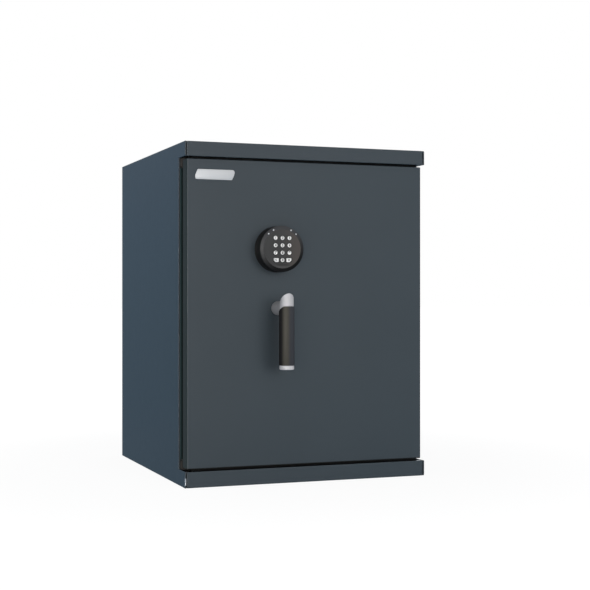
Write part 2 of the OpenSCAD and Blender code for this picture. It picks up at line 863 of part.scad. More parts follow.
module key_mat() {
    color([0.20, 0.20, 0.21]) on_keypad()
        translate([0, 0, board_front_p]) cylinder(r = board_r, h = mat_t);
}

module keypad_board() {
    color([0.10, 0.30, 0.18]) on_keypad() union() {
        translate([0, 0, board_back_p]) cylinder(r = board_r, h = board_t);
        for (a = [60 : 120 : 300]) rotate([0, 0, a])
            translate([board_r - post_in, 0, keypad_base_t])
                cylinder(r = post_r, h = board_back_p - keypad_base_t + board_t / 2);
    }
}

module battery() {
    color([0.30, 0.32, 0.34]) on_keypad()
        translate([-battery_w / 2, -battery_h / 2, keypad_base_t])
            cube([battery_w, battery_h, battery_d]);
}

// Place of key i on the face, counted in rows from the top left
module at_key(i) {
    column = i % 3 - 1;
    row = floor(i / 3);
    shift = i == 9 ? 1 : i == 11 ? -1 : 0;
    x = column * key_pitch + shift * (wide_key_w / 2 - key_r);
    translate([x, (1.5 - row) * key_pitch - key_drop, 0]) children();
}

// Outline of key i, grown by grow: round, or wide with its lower outer corner cut off
module key_outline(i, grow) {
    w = wide_key_w / 2 + grow;
    h = key_r + grow;
    corner = key_r * key_corner;
    side = i == 9 ? 1 : -1;
    if (i == 9 || i == 11) {
        polygon([
            [-w * side, h], [w * side, h], [w * side, -h],
            [(corner - w) * side, -h], [-w * side, corner - h]
        ]);
    } else {
        circle(r = h);
    }
}

// Key cap and the flange that keeps it behind the face
module key(i) {
    color([0.90, 0.90, 0.88]) on_keypad() at_key(i) {
        translate([0, 0, key_back_p]) {
            linear_extrude(height = face_p + key_proud - key_back_p) key_outline(i, 0);
            linear_extrude(height = flange_t) key_outline(i, flange_w);
        }
    }
}

// Bare plate with slanted ends, two of its corners round
module badge() {
    slant = badge_h / 3;
    round_r = badge_h / 4;
    color([0.78, 0.79, 0.80]) in_cabinet()
        translate([badge_x, door_setback, cab_h - badge_down - badge_h]) rotate([90, 0, 0])
            linear_extrude(height = badge_t) {
                difference() {
                    polygon([[0, 0], [badge_w - slant, 0], [badge_w, badge_h], [slant / 2, badge_h]]);
                    square([round_r, round_r]);
                }
                translate([round_r, round_r]) circle(r = round_r);
            }
}

// Stem and upright tube, the tube's top cut at a slant that falls towards the door
module handle_tube() {
    color([0.78, 0.79, 0.80]) in_cabinet() difference() {
        union() {
            rod_y(handle_x, grip_y, door_setback - pass_gap, handle_z, stem_r);
            difference() {
                rod_z(handle_x, grip_y, grip_z1 + cap_h, handle_z + tube_up, tube_r);
                translate([handle_x, grip_y - tube_r, handle_z + tube_up]) rotate([-45, 0, 0])
                    translate([-2 * tube_r, 0, 0]) cube(4 * tube_r);
            }
        }
        rod_y(handle_x, spindle_front, door_setback, handle_z, spindle_r + fixed_gap);
    }
}

module grip_sleeve() {
    color([0.07, 0.07, 0.07]) in_cabinet() difference() {
        rod_z(handle_x, grip_y, grip_z1 + cap_h, handle_z + sleeve_up, sleeve_r);
        rod_z(handle_x, grip_y, grip_z1, handle_z + sleeve_up + cut, tube_r + fixed_gap);
        rod_y(handle_x, grip_y, door_setback, handle_z, stem_r + fixed_gap);
        translate([handle_x, grip_y - sleeve_r + sleeve_level, handle_z + sleeve_up])
            rotate([-sleeve_fall, 0, 0]) translate([-2 * sleeve_r, 0, 0]) cube(4 * sleeve_r);
    }
}

module grip_cap() {
    color([0.78, 0.79, 0.80]) in_cabinet() translate([handle_x, grip_y, grip_z1])
        rotate_extrude() union() {
            translate([0, cap_round]) square([cap_r, cap_h - cap_round]);
            square([cap_r - cap_round, cap_h]);
            intersection() {
                translate([cap_r - cap_round, cap_round]) circle(r = cap_round);
                square(cap_r);
            }
        }
}

module handle_spindle() {
    color([0.70, 0.71, 0.72]) in_cabinet()
        rod_y(handle_x, spindle_front, crank_y2, handle_z, spindle_r);
}

// Plate fixed to the spindle, whose pin drives the carriage
module bolt_crank() {
    color([0.70, 0.71, 0.72]) in_cabinet() {
        difference() {
            union() {
                rod_y(handle_x, crank_y1, crank_y2, handle_z, crank_hub_r);
                rod_y(crank_pin_x, crank_y1, crank_y2, crank_pin_z, crank_pin_r + crank_rim);
            }
            rod_y(handle_x, crank_y1 - cut, crank_y2 + cut, handle_z, spindle_r + fixed_gap);
        }
        rod_y(crank_pin_x, crank_y2 - crank_t / 2, arm_y2 + pin_past_arm, crank_pin_z,
            crank_pin_r);
    }
}

// Upright bar and arm in one plate, with the crank slot and the lug
module bolt_carriage() {
    color([0.66, 0.67, 0.68]) in_cabinet() difference() {
        union() {
            span([bar_x1, arm_y1, bolt_zs[0] - bolt_r - bar_past_bolt],
                [bar_x2, arm_y1 + bar_d, bolt_zs[2] + bolt_r + bar_past_bolt]);
            span([arm_x1, arm_y1, arm_z1], [bar_x1, arm_y2, arm_z2]);
            span([lug_x, arm_y1, arm_z2], [lug_x + lug_w, arm_y2, lug_z]);
        }
        span([crank_pin_x - crank_pin_r - slot_play, arm_y1 - cut,
                handle_z - crank_throw - crank_pin_r - slot_end],
            [crank_pin_x + crank_pin_r + slot_play, arm_y2 + cut,
                crank_pin_z + crank_pin_r + slot_end]);
        for (z = bolt_zs) rod_x(bar_x1 - cut, bar_x2 + cut, bolt_y, z, bolt_spigot_r + fixed_gap);
    }
}

module locking_bolts() {
    color([0.80, 0.81, 0.82]) in_cabinet() for (z = bolt_zs) {
        rod_x(bar_x2, bolt_tip, bolt_y, z, bolt_r);
        rod_x(bar_x1, bar_x2, bolt_y, z, bolt_spigot_r);
    }
}

module lock_bolt() {
    color([0.78, 0.66, 0.38]) in_cabinet()
        span([lock_x - lock_bolt_w / 2, lock_bolt_y - lock_bolt_d, lock_bolt_tip],
            [lock_x + lock_bolt_w / 2, lock_bolt_y, lock_bolt_tip + lock_bolt_l]);
}

side_panel_left();
side_panel_right();
back_panel();
top_panel();
base_panel();
frame_left();
frame_right();
frame_top();
frame_base();
fill_left();
fill_right();
fill_top();
fill_base();
fill_back();
liner();
anchor_sleeves();
hinge_blocks();
hinge_pins();
shelf();
shelf_standards();
shelf_clips();
door_plate();
door_fill();
door_back_sheet();
plug_ring();
plug_cover();
cover_screws();
hinge_tube();
hinge_dogs();
bolt_guides();
lock_case();
spindle_bush();
keypad_base();
keypad_housing();
keypad_face();
key_mat();
keypad_board();
battery();
keypad_lamps();
badge();
handle_tube();
grip_sleeve();
grip_cap();
handle_spindle();
bolt_crank();
bolt_carriage();
locking_bolts();
lock_bolt();
key(0);  // key_1
key(1);  // key_2
key(2);  // key_3
key(3);  // key_4
key(4);  // key_5
key(5);  // key_6
key(6);  // key_7
key(7);  // key_8
key(8);  // key_9
key(9);  // key_clear
key(10);  // key_0
key(11);  // key_enter
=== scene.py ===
import math
import bpy
import bmesh
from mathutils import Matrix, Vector


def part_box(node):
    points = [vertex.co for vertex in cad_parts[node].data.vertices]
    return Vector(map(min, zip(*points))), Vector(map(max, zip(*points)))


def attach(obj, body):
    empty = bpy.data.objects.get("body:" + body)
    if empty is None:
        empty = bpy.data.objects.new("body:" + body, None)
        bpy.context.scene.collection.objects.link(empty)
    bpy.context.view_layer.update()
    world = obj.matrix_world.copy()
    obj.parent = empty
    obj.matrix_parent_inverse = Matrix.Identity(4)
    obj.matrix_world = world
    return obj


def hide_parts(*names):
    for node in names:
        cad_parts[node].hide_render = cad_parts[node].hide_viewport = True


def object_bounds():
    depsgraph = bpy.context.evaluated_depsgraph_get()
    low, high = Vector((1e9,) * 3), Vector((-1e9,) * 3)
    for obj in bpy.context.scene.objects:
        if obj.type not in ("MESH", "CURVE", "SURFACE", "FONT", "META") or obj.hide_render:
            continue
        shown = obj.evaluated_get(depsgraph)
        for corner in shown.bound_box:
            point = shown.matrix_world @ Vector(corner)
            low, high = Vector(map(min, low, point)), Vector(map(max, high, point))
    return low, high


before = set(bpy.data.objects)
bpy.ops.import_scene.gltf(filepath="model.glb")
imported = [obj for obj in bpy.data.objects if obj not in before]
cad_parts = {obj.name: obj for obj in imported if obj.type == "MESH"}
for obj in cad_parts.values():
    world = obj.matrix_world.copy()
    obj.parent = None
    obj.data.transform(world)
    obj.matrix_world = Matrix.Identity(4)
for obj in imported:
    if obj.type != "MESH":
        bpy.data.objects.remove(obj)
cad_low, cad_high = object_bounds()

# The viewpoint: level with the upper half of the cabinet, in front of its left corner, through a
# long lens. Its place and turn come from the vanishing points of the cabinet's edges.
FOCAL_MM = 77.406
FILM_MM = 36
VIEW_PLACE = (-0.8880, -2.5522, 0.3615)
VIEW_TURN = math.radians(-20.57)
lens = bpy.data.cameras.new("viewpoint")
lens.lens = FOCAL_MM
lens.sensor_width = FILM_MM
camera = bpy.data.objects.new("viewpoint", lens)
camera.location = VIEW_PLACE
camera.rotation_euler = (math.radians(90), 0, VIEW_TURN)
bpy.context.scene.collection.objects.link(camera)
bpy.context.scene.camera = camera


# The cabinet's shell: folded steel sheets with welded seams, blasted and powder coated in
# anthracite. The coat has a fine orange peel, and its colour drifts a little over each sheet.
class Wire:
    """A shader socket. Sums, differences and products of wires and numbers add Math nodes."""

    def __init__(self, tree, socket=None):
        self.tree = tree
        self.socket = socket

    def node(self, kind, settings=(), sockets=(), out=0):
        """A new node of this kind, whose settings are set before its sockets are."""
        made = self.tree.nodes.new("ShaderNode" + kind)
        for name, value in dict(settings).items():
            setattr(made, name, value)
        for name, value in dict(sockets).items():
            if isinstance(value, Wire):
                self.tree.links.new(made.inputs[name], value.socket)
            else:
                made.inputs[name].default_value = value
        return Wire(self.tree, made.outputs[out])

    def maths(self, operation, first, second=0.0):
        """A Math node on one or two wires or numbers."""
        return self.node("Math", {"operation": operation}, {0: first, 1: second})

    def __add__(self, other):
        return self.maths("ADD", self, other)

    def __sub__(self, other):
        return self.maths("SUBTRACT", self, other)

    def __rsub__(self, other):
        return self.maths("SUBTRACT", other, self)

    def __mul__(self, other):
        return self.maths("MULTIPLY", self, other)

    __radd__ = __add__
    __rmul__ = __mul__

    def between(self, low, high):
        """0 below low and 1 above high, with a soft step from one to the other."""
        return self.node(
            "MapRange",
            {"interpolation_type": "SMOOTHSTEP"},
            {"Value": self, "From Min": low, "From Max": high},
        )

    def band(self, start, full, fade, end):
        """0 up to start and from end on, and 1 from full to fade."""
        return self.between(start, full) * (1 - self.between(fade, end))

    def colours(self, at_zero, at_one):
        """The colour that this wire mixes from two colours."""
        return self.node("Mix", {"data_type": "RGBA"}, {0: self, 6: at_zero, 7: at_one}, out=2)

    def spot(self):
        """The point on the piece, in metres in the frame."""
        return self.node("TexCoord", out="Object")

    def axis(self, index):
        """One coordinate of a point, or one channel of a colour."""
        return self.node("SeparateXYZ", {}, {0: self}, out=index)

    def stretched(self, scale):
        """The point scaled by its own share along each axis, for marks that run one way."""
        return self.node("Mapping", {}, {"Vector": self, "Scale": scale})

    def noise(self, scale, detail=2.0, roughness=0.5):
        """Noise from 0 to 1 at this point, with about this many features to the metre."""
        sockets = {"Vector": self, "Scale": scale, "Detail": detail, "Roughness": roughness}
        return self.node("TexNoise", {}, sockets)

    def relief(self, depth):
        """The normal of a surface whose height this wire gives, depth metres for a step of 1."""
        return self.node("Bump", {}, {"Height": self, "Distance": depth})


def rgb(red, green, blue):
    """A colour from its screen values, 0 to 255."""
    return tuple(((c / 255 + 0.055) / 1.055) ** 2.4 for c in (red, green, blue)) + (1.0,)


def finish(name, look):
    """A material whose sockets look(wire) names: numbers are set, and wires are linked."""
    made = bpy.data.materials.new(name)
    made.use_nodes = True
    shader = made.node_tree.nodes["Principled BSDF"]
    for socket, value in look(Wire(made.node_tree)).items():
        if isinstance(value, Wire):
            made.node_tree.links.new(shader.inputs[socket], value.socket)
        else:
            shader.inputs[socket].default_value = value
    return made


DRIFT_SCALE = 5.5
PEEL_SCALE = 620
PEEL_DEPTH = 0.00002
GRIT_SCALE = 3200
GRIT_DEPTH = 0.000006
SPECK_SHARE = 0.35
JOIN_WITHIN = 0.000002
SHARP_ANGLE = math.radians(40)


def powder_coat(w, deep, light, roughness=0.42, specular=0.4):
    """Sockets of a powder coat whose colour drifts between two close shades."""
    spot = w.spot()
    drift = spot.noise(DRIFT_SCALE, 3.0).between(0.35, 0.65)
    peel = spot.noise(PEEL_SCALE, 1.5)
    grit = spot.noise(GRIT_SCALE, 1.0)
    height = peel + grit * (GRIT_DEPTH / PEEL_DEPTH)
    speck = grit.between(0.62, 0.75) * SPECK_SHARE
    return {
        "Base Color": speck.colours(drift.colours(deep, light), light),
        "Roughness": roughness + spot.noise(60.0, 2.0) * 0.04,
        "Specular IOR Level": specular,
        "Normal": height.relief(PEEL_DEPTH),
    }


def dress(nodes, material, soften=0.0):
    """Gives CAD nodes their finish, and turns their sharp edges by a small radius."""
    for node in nodes.split():
        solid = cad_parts[node]
        for slot in solid.material_slots:
            slot.material = material
        if soften:
            weld = solid.modifiers.new("joined faces", "WELD")
            weld.merge_threshold = JOIN_WITHIN
            edge = solid.modifiers.new("turned edges", "BEVEL")
            edge.width = soften
            edge.segments = 3
            edge.limit_method = "ANGLE"
            edge.angle_limit = SHARP_ANGLE
            edge.use_clamp_overlap = False
            edge.loop_slide = False
            shade = solid.modifiers.new("flat faces", "WEIGHTED_NORMAL")
            shade.keep_sharp = True


# The shell's shades are bluer than the lips' and door's shades of the same paint: painted cool
# light.
ANTHRACITE_COOL_CAST_DEEP = rgb(36.5, 56.5, 71)
ANTHRACITE_COOL_CAST_LIGHT = rgb(38, 58, 72.5)
ANTHRACITE_UPPER_SHADE = rgb(27, 51, 69)
UPPER_HEIGHTS = (0.3, 0.62)
FRONT_EDGE_DARK = rgb(34, 43, 50)
FRONT_EDGE_DEPTH = (0.0002, 0.0007)
NOTCH_IN = 0.0025
NOTCH_PAINTED_LIGHT = rgb(98, 104, 108)
NOTCH_LIGHT_DEPTH = (-0.0006, -0.0002, 0.0002, 0.0006)
NOTCH_LIGHT_ACROSS = (0.0010, 0.0018, 0.0035, 0.0045)
LOW_STRIP_BRIGHT = rgb(205, 208, 212)
LOW_STRIP_HEIGHTS = (0.005, 0.006, 0.018, 0.019)
LOW_STRIP_ACROSS = (0.0020, 0.0024)
LOW_STRIP_DEPTH = (0.0010, 0.0016)
RAGGED_SCALE = 900
RAGGED_BY = 0.0006
frame_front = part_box("side_panel_left")[0].y
notch_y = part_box("hinge_blocks")[1].y - NOTCH_IN


def shell_coat(w):
    """The coat, with painted shade higher up. The sheets' front edges are darker. The left one has
    a painted highlight along its notch, and a bright, more metallic strip low down beside the base
    lip."""
    sockets = powder_coat(w, ANTHRACITE_COOL_CAST_DEEP, ANTHRACITE_COOL_CAST_LIGHT)
    spot = w.spot()
    # Painted shade: the coat is darker higher up on the sheets.
    upper = spot.axis(2).between(*UPPER_HEIGHTS)
    coat = upper.colours(sockets["Base Color"], ANTHRACITE_UPPER_SHADE)
    across = spot.axis(0) - cad_low.x
    behind = spot.axis(1) - frame_front
    # The sheets' front edges are darker.
    coat = (1 - behind.between(*FRONT_EDGE_DEPTH)).colours(coat, FRONT_EDGE_DARK)
    # A painted highlight along the edge of the left sheet's notch, which lies in shade.
    notch_light = (spot.axis(1) - notch_y).band(*NOTCH_LIGHT_DEPTH) * across.band(*NOTCH_LIGHT_ACROSS)
    coat = notch_light.colours(coat, NOTCH_PAINTED_LIGHT)
    # A bright, more metallic strip low down on the left sheet's front edge, beside the base lip.
    height = spot.axis(2) + spot.noise(RAGGED_SCALE, 2.0) * RAGGED_BY
    low_strip = height.band(*LOW_STRIP_HEIGHTS)
    low_strip = low_strip * (1 - across.between(*LOW_STRIP_ACROSS)) * (1 - behind.between(*LOW_STRIP_DEPTH))
    sockets["Base Color"] = low_strip.colours(coat, LOW_STRIP_BRIGHT)
    sockets["Roughness"] = sockets["Roughness"] * (1 - low_strip * 0.4)
    sockets["Metallic"] = low_strip * 0.6
    return sockets


DOOR_GAP = 0.004
LIP_DEEP = rgb(48.8, 60, 67.6)
LIP_LIGHT = rgb(50.3, 61.5, 69.1)
FOLD_PAINTED_SHADE = rgb(2, 3, 6)
FOLD_START = 0.0004
FOLD_FULL = 0.0010
FOLD_DEPTH = (0.0012, 0.0030)
gap_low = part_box("door_plate")[0].z - DOOR_GAP
gap_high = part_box("door_plate")[1].z + DOOR_GAP


def lip_look(w):
    """The coat of the lips, with painted shade on the folds that face the door's gap."""
    sockets = powder_coat(w, LIP_DEEP, LIP_LIGHT)
    spot = w.spot()
    # Painted shade on the folds inside the door's gap.
    gap_shade = spot.axis(2).band(gap_low - FOLD_FULL, gap_low - FOLD_START,
                              gap_high + FOLD_START, gap_high + FOLD_FULL)
    gap_shade = gap_shade * (spot.axis(1) - frame_front).between(*FOLD_DEPTH)
    sockets["Base Color"] = gap_shade.colours(sockets["Base Color"], FOLD_PAINTED_SHADE)
    sockets["Roughness"] = sockets["Roughness"] - gap_shade * 0.3
    return sockets


shell_paint = finish("anthracite_shell", shell_coat)
lip_paint = finish("anthracite_lips", lip_look)
dress("side_panel_left side_panel_right back_panel", shell_paint, soften=0.0007)
dress("top_panel base_panel", lip_paint, soften=0.0010)

# The door frame: four steel bars welded into the shell, painted darker than it. A strip of
# black seal, which swells in a fire, is glued round the opening where the pan comes to rest.
# The frame's near-black is partly its dark paint and partly painted shade in the gaps round the
# door.
FRAME_GAP_SHADE_DEEP = rgb(17, 20, 22)
FRAME_GAP_SHADE_LIGHT = rgb(20, 23, 26)


def frame_look(w):
    """A darker, duller coat than the shell's: dark paint, and painted shade for the door's gaps."""
    return powder_coat(w, FRAME_GAP_SHADE_DEEP, FRAME_GAP_SHADE_LIGHT, roughness=0.6, specular=0.2)


frame_paint = finish("dark_frame", frame_look)
dress("frame_left frame_right frame_top frame_base", frame_paint, soften=0.0008)

BLACK_GRAIN = 2400
BLACK_DEPTH = 0.00001
FLECK_SCALE = 700
FLECK_PALE = rgb(70, 70, 70)


def fleck_black(w, colour, roughness, specular=0.5):
    """Sockets of a dull black piece with a fine grain and a few paler flecks."""
    spot = w.spot()
    grain = spot.noise(BLACK_GRAIN, 2.0)
    fleck = spot.noise(FLECK_SCALE, 3.0).between(0.66, 0.8) * 0.3
    return {
        "Base Color": fleck.colours(colour, FLECK_PALE),
        "Specular IOR Level": specular,
        "Roughness": roughness + grain * 0.12,
        "Normal": grain.relief(BLACK_DEPTH),
    }


def outline(corners, steps=8):
    """Points of a closed outline. A corner is (x, y), or (x, y, radius) where an arc turns it."""
    points = []
    for i, corner in enumerate(corners):
        here = Vector(corner[:2])
        if len(corner) < 3 or not corner[2]:
            points.append(tuple(here))
            continue
        before = (Vector(corners[i - 1][:2]) - here).normalized()
        after = (Vector(corners[(i + 1) % len(corners)][:2]) - here).normalized()
        half = before.angle(after) / 2
        centre = here + (before + after).normalized() * corner[2] / math.sin(half)
        start = here + before * corner[2] / math.tan(half) - centre
        turn = start.angle_signed(here + after * corner[2] / math.tan(half) - centre)
        for k in range(steps + 1):
            a = -turn * k / steps
            x = start.x * math.cos(a) - start.y * math.sin(a)
            y = start.x * math.sin(a) + start.y * math.cos(a)
            points.append((centre.x + x, centre.y + y))
    return points


def piece(name, points, faces, material, body, slot, replaced=(), crease=35):
    """A closed mesh piece that rides on a body, its faces turned outwards."""
    mesh = bpy.data.meshes.new(name)
    mesh.from_pydata([tuple(p) for p in points], [], faces)
    work = bmesh.new()
    work.from_mesh(mesh)
    bmesh.ops.recalc_face_normals(work, faces=work.faces)
    work.to_mesh(mesh)
    work.free()
    mesh.shade_smooth()
    mesh.set_sharp_from_angle(angle=math.radians(crease))
    mesh.materials.append(material)
    made = bpy.data.objects.new(name, mesh)
    bpy.context.scene.collection.objects.link(made)
    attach(made, body)
    if replaced:
        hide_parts(*replaced)


def lofted(rings, closed=False):
    """Points and faces through rings of equal length. A closed loft joins its last ring to its
    first, and an open one ends in a face at each end. A ring of one point closes to a tip."""
    points, faces, starts = [], [], []
    for ring in rings:
        starts.append((len(points), len(ring)))
        points.extend(ring)
    count = max(length for _, length in starts)
    pairs = list(zip(starts, starts[1:]))
    if closed:
        pairs.append((starts[-1], starts[0]))
    for (a, a_len), (b, b_len) in pairs:
        for i in range(count):
            j = (i + 1) % count
            loop = [a + i % a_len, a + j % a_len, b + j % b_len, b + i % b_len]
            loop = list(dict.fromkeys(loop))
            if len(loop) > 2:
                faces.append(loop)
    if not closed:
        for start, length in (starts[0], starts[-1]):
            if length > 2:
                faces.append(list(range(start, start + length)))
    return points, faces


SEAL_WIDE = 0.012
SEAL_THICK = 0.0012
SEAL_IN = 0.003
SEAL_TURN = 0.004
SEAL_LIP = 0.001
SEAL_SHOULDER = 0.6
SEAL_BLACK = rgb(30, 30, 31)
opening_low = Vector((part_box("frame_left")[1].x, 0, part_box("frame_base")[1].z))
opening_high = Vector((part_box("frame_right")[0].x, 0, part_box("frame_top")[0].z))
seal_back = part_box("frame_top")[0].y


def seal_ring(grow, y):
    """The opening's outline at depth y, grown by grow and with rounded corners."""
    x1, x2 = opening_low.x - grow, opening_high.x + grow
    z1, z2 = opening_low.z - grow, opening_high.z + grow
    r = SEAL_TURN + grow
    corners = [(x1, z1, r), (x2, z1, r), (x2, z2, r), (x1, z2, r)]
    return [(x, y, z) for x, z in outline(corners)]


seal_black = finish("fire_seal", lambda w: fleck_black(w, SEAL_BLACK, roughness=0.7))
seal_outer = SEAL_IN + SEAL_WIDE
seal = [
    seal_ring(SEAL_IN, seal_back),
    seal_ring(SEAL_IN, seal_back - SEAL_THICK * SEAL_SHOULDER),
    seal_ring(SEAL_IN + SEAL_LIP, seal_back - SEAL_THICK),
    seal_ring(seal_outer - SEAL_LIP, seal_back - SEAL_THICK),
    seal_ring(seal_outer, seal_back - SEAL_THICK * SEAL_SHOULDER),
    seal_ring(seal_outer, seal_back),
]
piece("door_seal", *lofted(seal, closed=True), seal_black, "cabinet", "grip_black")

# The hinge: two knuckles with feet that are welded to the frame, and turned steel pins pressed
# into them. The knuckles and the door's tube are painted black before the door is hung.
ASLANT = math.radians(20)
KNUCKLE_H = 0.018
KNUCKLE_BLACK = rgb(3, 5, 5)
KNUCKLE_PAINTED_LIGHT = rgb(54, 51, 47)
KNUCKLE_LIT_ACROSS = (-0.0066, -0.0056, -0.0032, -0.0020)
hinge_axis = (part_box("hinge_pins")[0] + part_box("hinge_pins")[1]) / 2
knuckle_low, knuckle_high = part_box("hinge_blocks")
knuckle_mid = (knuckle_low.z + knuckle_high.z) / 2
knuckle_out = (knuckle_high.z - knuckle_low.z) / 2
knuckle_in = knuckle_out - KNUCKLE_H
knuckle_lit_heights = (knuckle_in + 0.0008, knuckle_in + 0.0022,
                knuckle_out - 0.0030, knuckle_out - 0.0010)


def right_of(spot, x, y):
    """How far right of an upright axis the spot lies, as seen from 20 degrees left of the front."""
    return (spot.axis(0) - x) * math.cos(ASLANT) - (spot.axis(1) - y) * math.sin(ASLANT)


def knuckle_look(w):
    """Black paint, lighter and brownish on each knuckle's front as painted light, with painted
    shade along its edges.
    """
    sockets = fleck_black(w, KNUCKLE_BLACK, roughness=0.6, specular=0.2)
    spot = w.spot()
    across = right_of(spot, hinge_axis.x, hinge_axis.y)
    height = w.maths("ABSOLUTE", spot.axis(2) - knuckle_mid)
    # Painted light on each knuckle's front; its edges stay black as painted shade.
    painted_light = across.band(*KNUCKLE_LIT_ACROSS) * height.band(*knuckle_lit_heights)
    sockets["Base Color"] = painted_light.colours(sockets["Base Color"], KNUCKLE_PAINTED_LIGHT)
    return sockets


dress("hinge_blocks", finish("knuckle_black", knuckle_look), soften=0.0006)


def toned(colour, share):
    """The colour made darker or lighter by a share."""
    return tuple(share * c for c in colour[:3]) + (1.0,)


STEEL_GREY = rgb(176, 178, 180)
PIN_BLUED = rgb(46, 45, 44)
RING_SCALE = 5200.0
RING_DEPTH = 0.000008
ALONG_SCALE = 60.0
STAIN_SCALE = 38


def turned_steel(w, colour=STEEL_GREY, roughness=0.24, across=2):
    """Sockets of machined steel, its fine rings running round one axis."""
    spot = w.spot()
    scale = [ALONG_SCALE] * 3
    scale[across] = RING_SCALE
    rings = spot.stretched(tuple(scale)).noise(1.0, 2.0)
    stain = spot.noise(STAIN_SCALE, 3.0).between(0.4, 0.75)
    return {
        "Base Color": stain.colours(colour, toned(colour, 0.8)),
        "Metallic": 1.0,
        "Roughness": roughness + rings * 0.14 + stain * 0.06,
        "Normal": rings.relief(RING_DEPTH),
    }


pin_steel = finish("blackened_pins", lambda w: turned_steel(w, PIN_BLUED, roughness=0.4))
dress("hinge_pins", pin_steel, soften=0.0003)

# The fire fill: a light mineral mix cast into the walls and the door, which stays rough where
# it shows in the bolt pockets. Steel sleeves run through the floor for the anchor bolts.
FILL_DEEP = rgb(168, 162, 150)
FILL_LIGHT = rgb(196, 190, 178)
PORE_DARK = rgb(110, 104, 95)
LUMP_SCALE = 160
PORE_SCALE = 240.0
PIT_DEPTH = 0.0006


def cast_fill(w):
    """Sockets of the cast mix: lumpy, a little chalky, and pitted with pores."""
    spot = w.spot()
    lumps = spot.noise(LUMP_SCALE, 5.0, 0.6)
    pores = spot.node("TexVoronoi", {}, {"Vector": spot, "Scale": PORE_SCALE})
    pit = 1 - pores.between(0.08, 0.3)
    tone = lumps.between(0.3, 0.7).colours(FILL_DEEP, FILL_LIGHT)
    return {
        "Base Color": (pit * 0.6).colours(tone, PORE_DARK),
        "Roughness": 0.88 + lumps * 0.1,
        "Normal": (lumps - pit).relief(PIT_DEPTH),
    }


dress("fill_left fill_right fill_top fill_base fill_back door_fill", finish("cast_fill", cast_fill))
dress("anchor_sleeves", finish("sleeve_steel", turned_steel), soften=0.0004)

# The inside: a liner of thin sheet and one shelf tray, both powder coated light grey, with the
# shelf carried by zinc plated clips that hook into slotted standards on the side walls.
GREY_DEEP = rgb(168, 172, 174)
GREY_LIGHT = rgb(176, 180, 182)
grey_coat = finish("light_grey_coat", lambda w: powder_coat(w, GREY_DEEP, GREY_LIGHT))
dress("liner", grey_coat, soften=0.0006)
dress("shelf", grey_coat, soften=0.0007)
ZINC_DEEP = rgb(178, 181, 186)
ZINC_LIGHT = rgb(196, 199, 203)
BLOOM_TINT = rgb(196, 190, 172)
SPANGLE_SCALE = 330.0
SPANGLE_DEPTH = 0.000004
BLOOM_SCALE = 46


def zinc(w):
    """Sockets of bright zinc plate, with the faint spangle and bloom it has when new."""
    spot = w.spot()
    cells = spot.node("TexVoronoi", {}, {"Vector": spot, "Scale": SPANGLE_SCALE}, out="Color")
    spangle = cells.axis(0)
    bloom = spot.noise(BLOOM_SCALE, 3.0).between(0.35, 0.7)
    tone = spangle.colours(ZINC_DEEP, ZINC_LIGHT)
    return {
        "Base Color": (bloom * 0.3).colours(tone, BLOOM_TINT),
        "Metallic": 1.0,
        "Roughness": 0.3 + spangle * 0.1 + bloom * 0.08,
        "Normal": spangle.relief(SPANGLE_DEPTH),
    }


zinc_plate = finish("zinc_plate", zinc)
dress("shelf_standards", zinc_plate, soften=0.0003)
dress("shelf_clips", zinc_plate, soften=0.0004)

# The door: a pan of thick plate, folded on all four sides and coated like the shell, that holds a
# fire filled core. A steel tube welded along its hinge side turns on the two pins.
DOOR_DEEP = rgb(47.6, 59.2, 66.8)
DOOR_LIGHT = rgb(49.1, 60.7, 68.3)
DOOR_EDGE_SHADE = rgb(10, 33, 38)
EDGE_ACROSS = (0.0008, 0.0028)
DOOR_FOOT_SHADE = rgb(8, 10, 12)
FOOT_HEIGHTS = (0.0013, 0.0022)
door_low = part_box("door_plate")[0]


def door_look(w):
    """The coat, with painted shade on the edge face beside the hinge and on the turn at the door's
    foot, where they face the gaps."""
    sockets = powder_coat(w, DOOR_DEEP, DOOR_LIGHT)
    spot = w.spot()
    # Painted shade on the edge face beside the hinge and on the turn at the door's foot.
    edge = 1 - (spot.axis(0) - door_low.x).between(*EDGE_ACROSS)
    foot = 1 - (spot.axis(2) - door_low.z).between(*FOOT_HEIGHTS)
    coat = edge.colours(sockets["Base Color"], DOOR_EDGE_SHADE)
    sockets["Base Color"] = foot.colours(coat, DOOR_FOOT_SHADE)
    sockets["Roughness"] = sockets["Roughness"] + edge * 0.5
    return sockets


dress("door_plate", finish("anthracite_door", door_look), soften=0.0010)
TUBE_DARK = rgb(10, 25, 25)
TUBE_PAINTED_LIGHT = rgb(50, 66, 67)
TUBE_LIT_ACROSS = (-0.0064, -0.0054)
tube_x = (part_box("hinge_tube")[0].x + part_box("hinge_tube")[1].x) / 2


def tube_look(w):
    """Dark paint, with painted light along the side of the tube next to the cabinet's side sheet.
    """
    sockets = fleck_black(w, TUBE_DARK, roughness=0.7, specular=0.05)
    # Painted light on the tube's left side, next to the side sheet.
    dark = (w.spot().axis(0) - tube_x).between(*TUBE_LIT_ACROSS)
    sockets["Base Color"] = dark.colours(TUBE_PAINTED_LIGHT, TUBE_DARK)
    return sockets


dress("hinge_tube", finish("hinge_tube_black", tube_look), soften=0.0003)

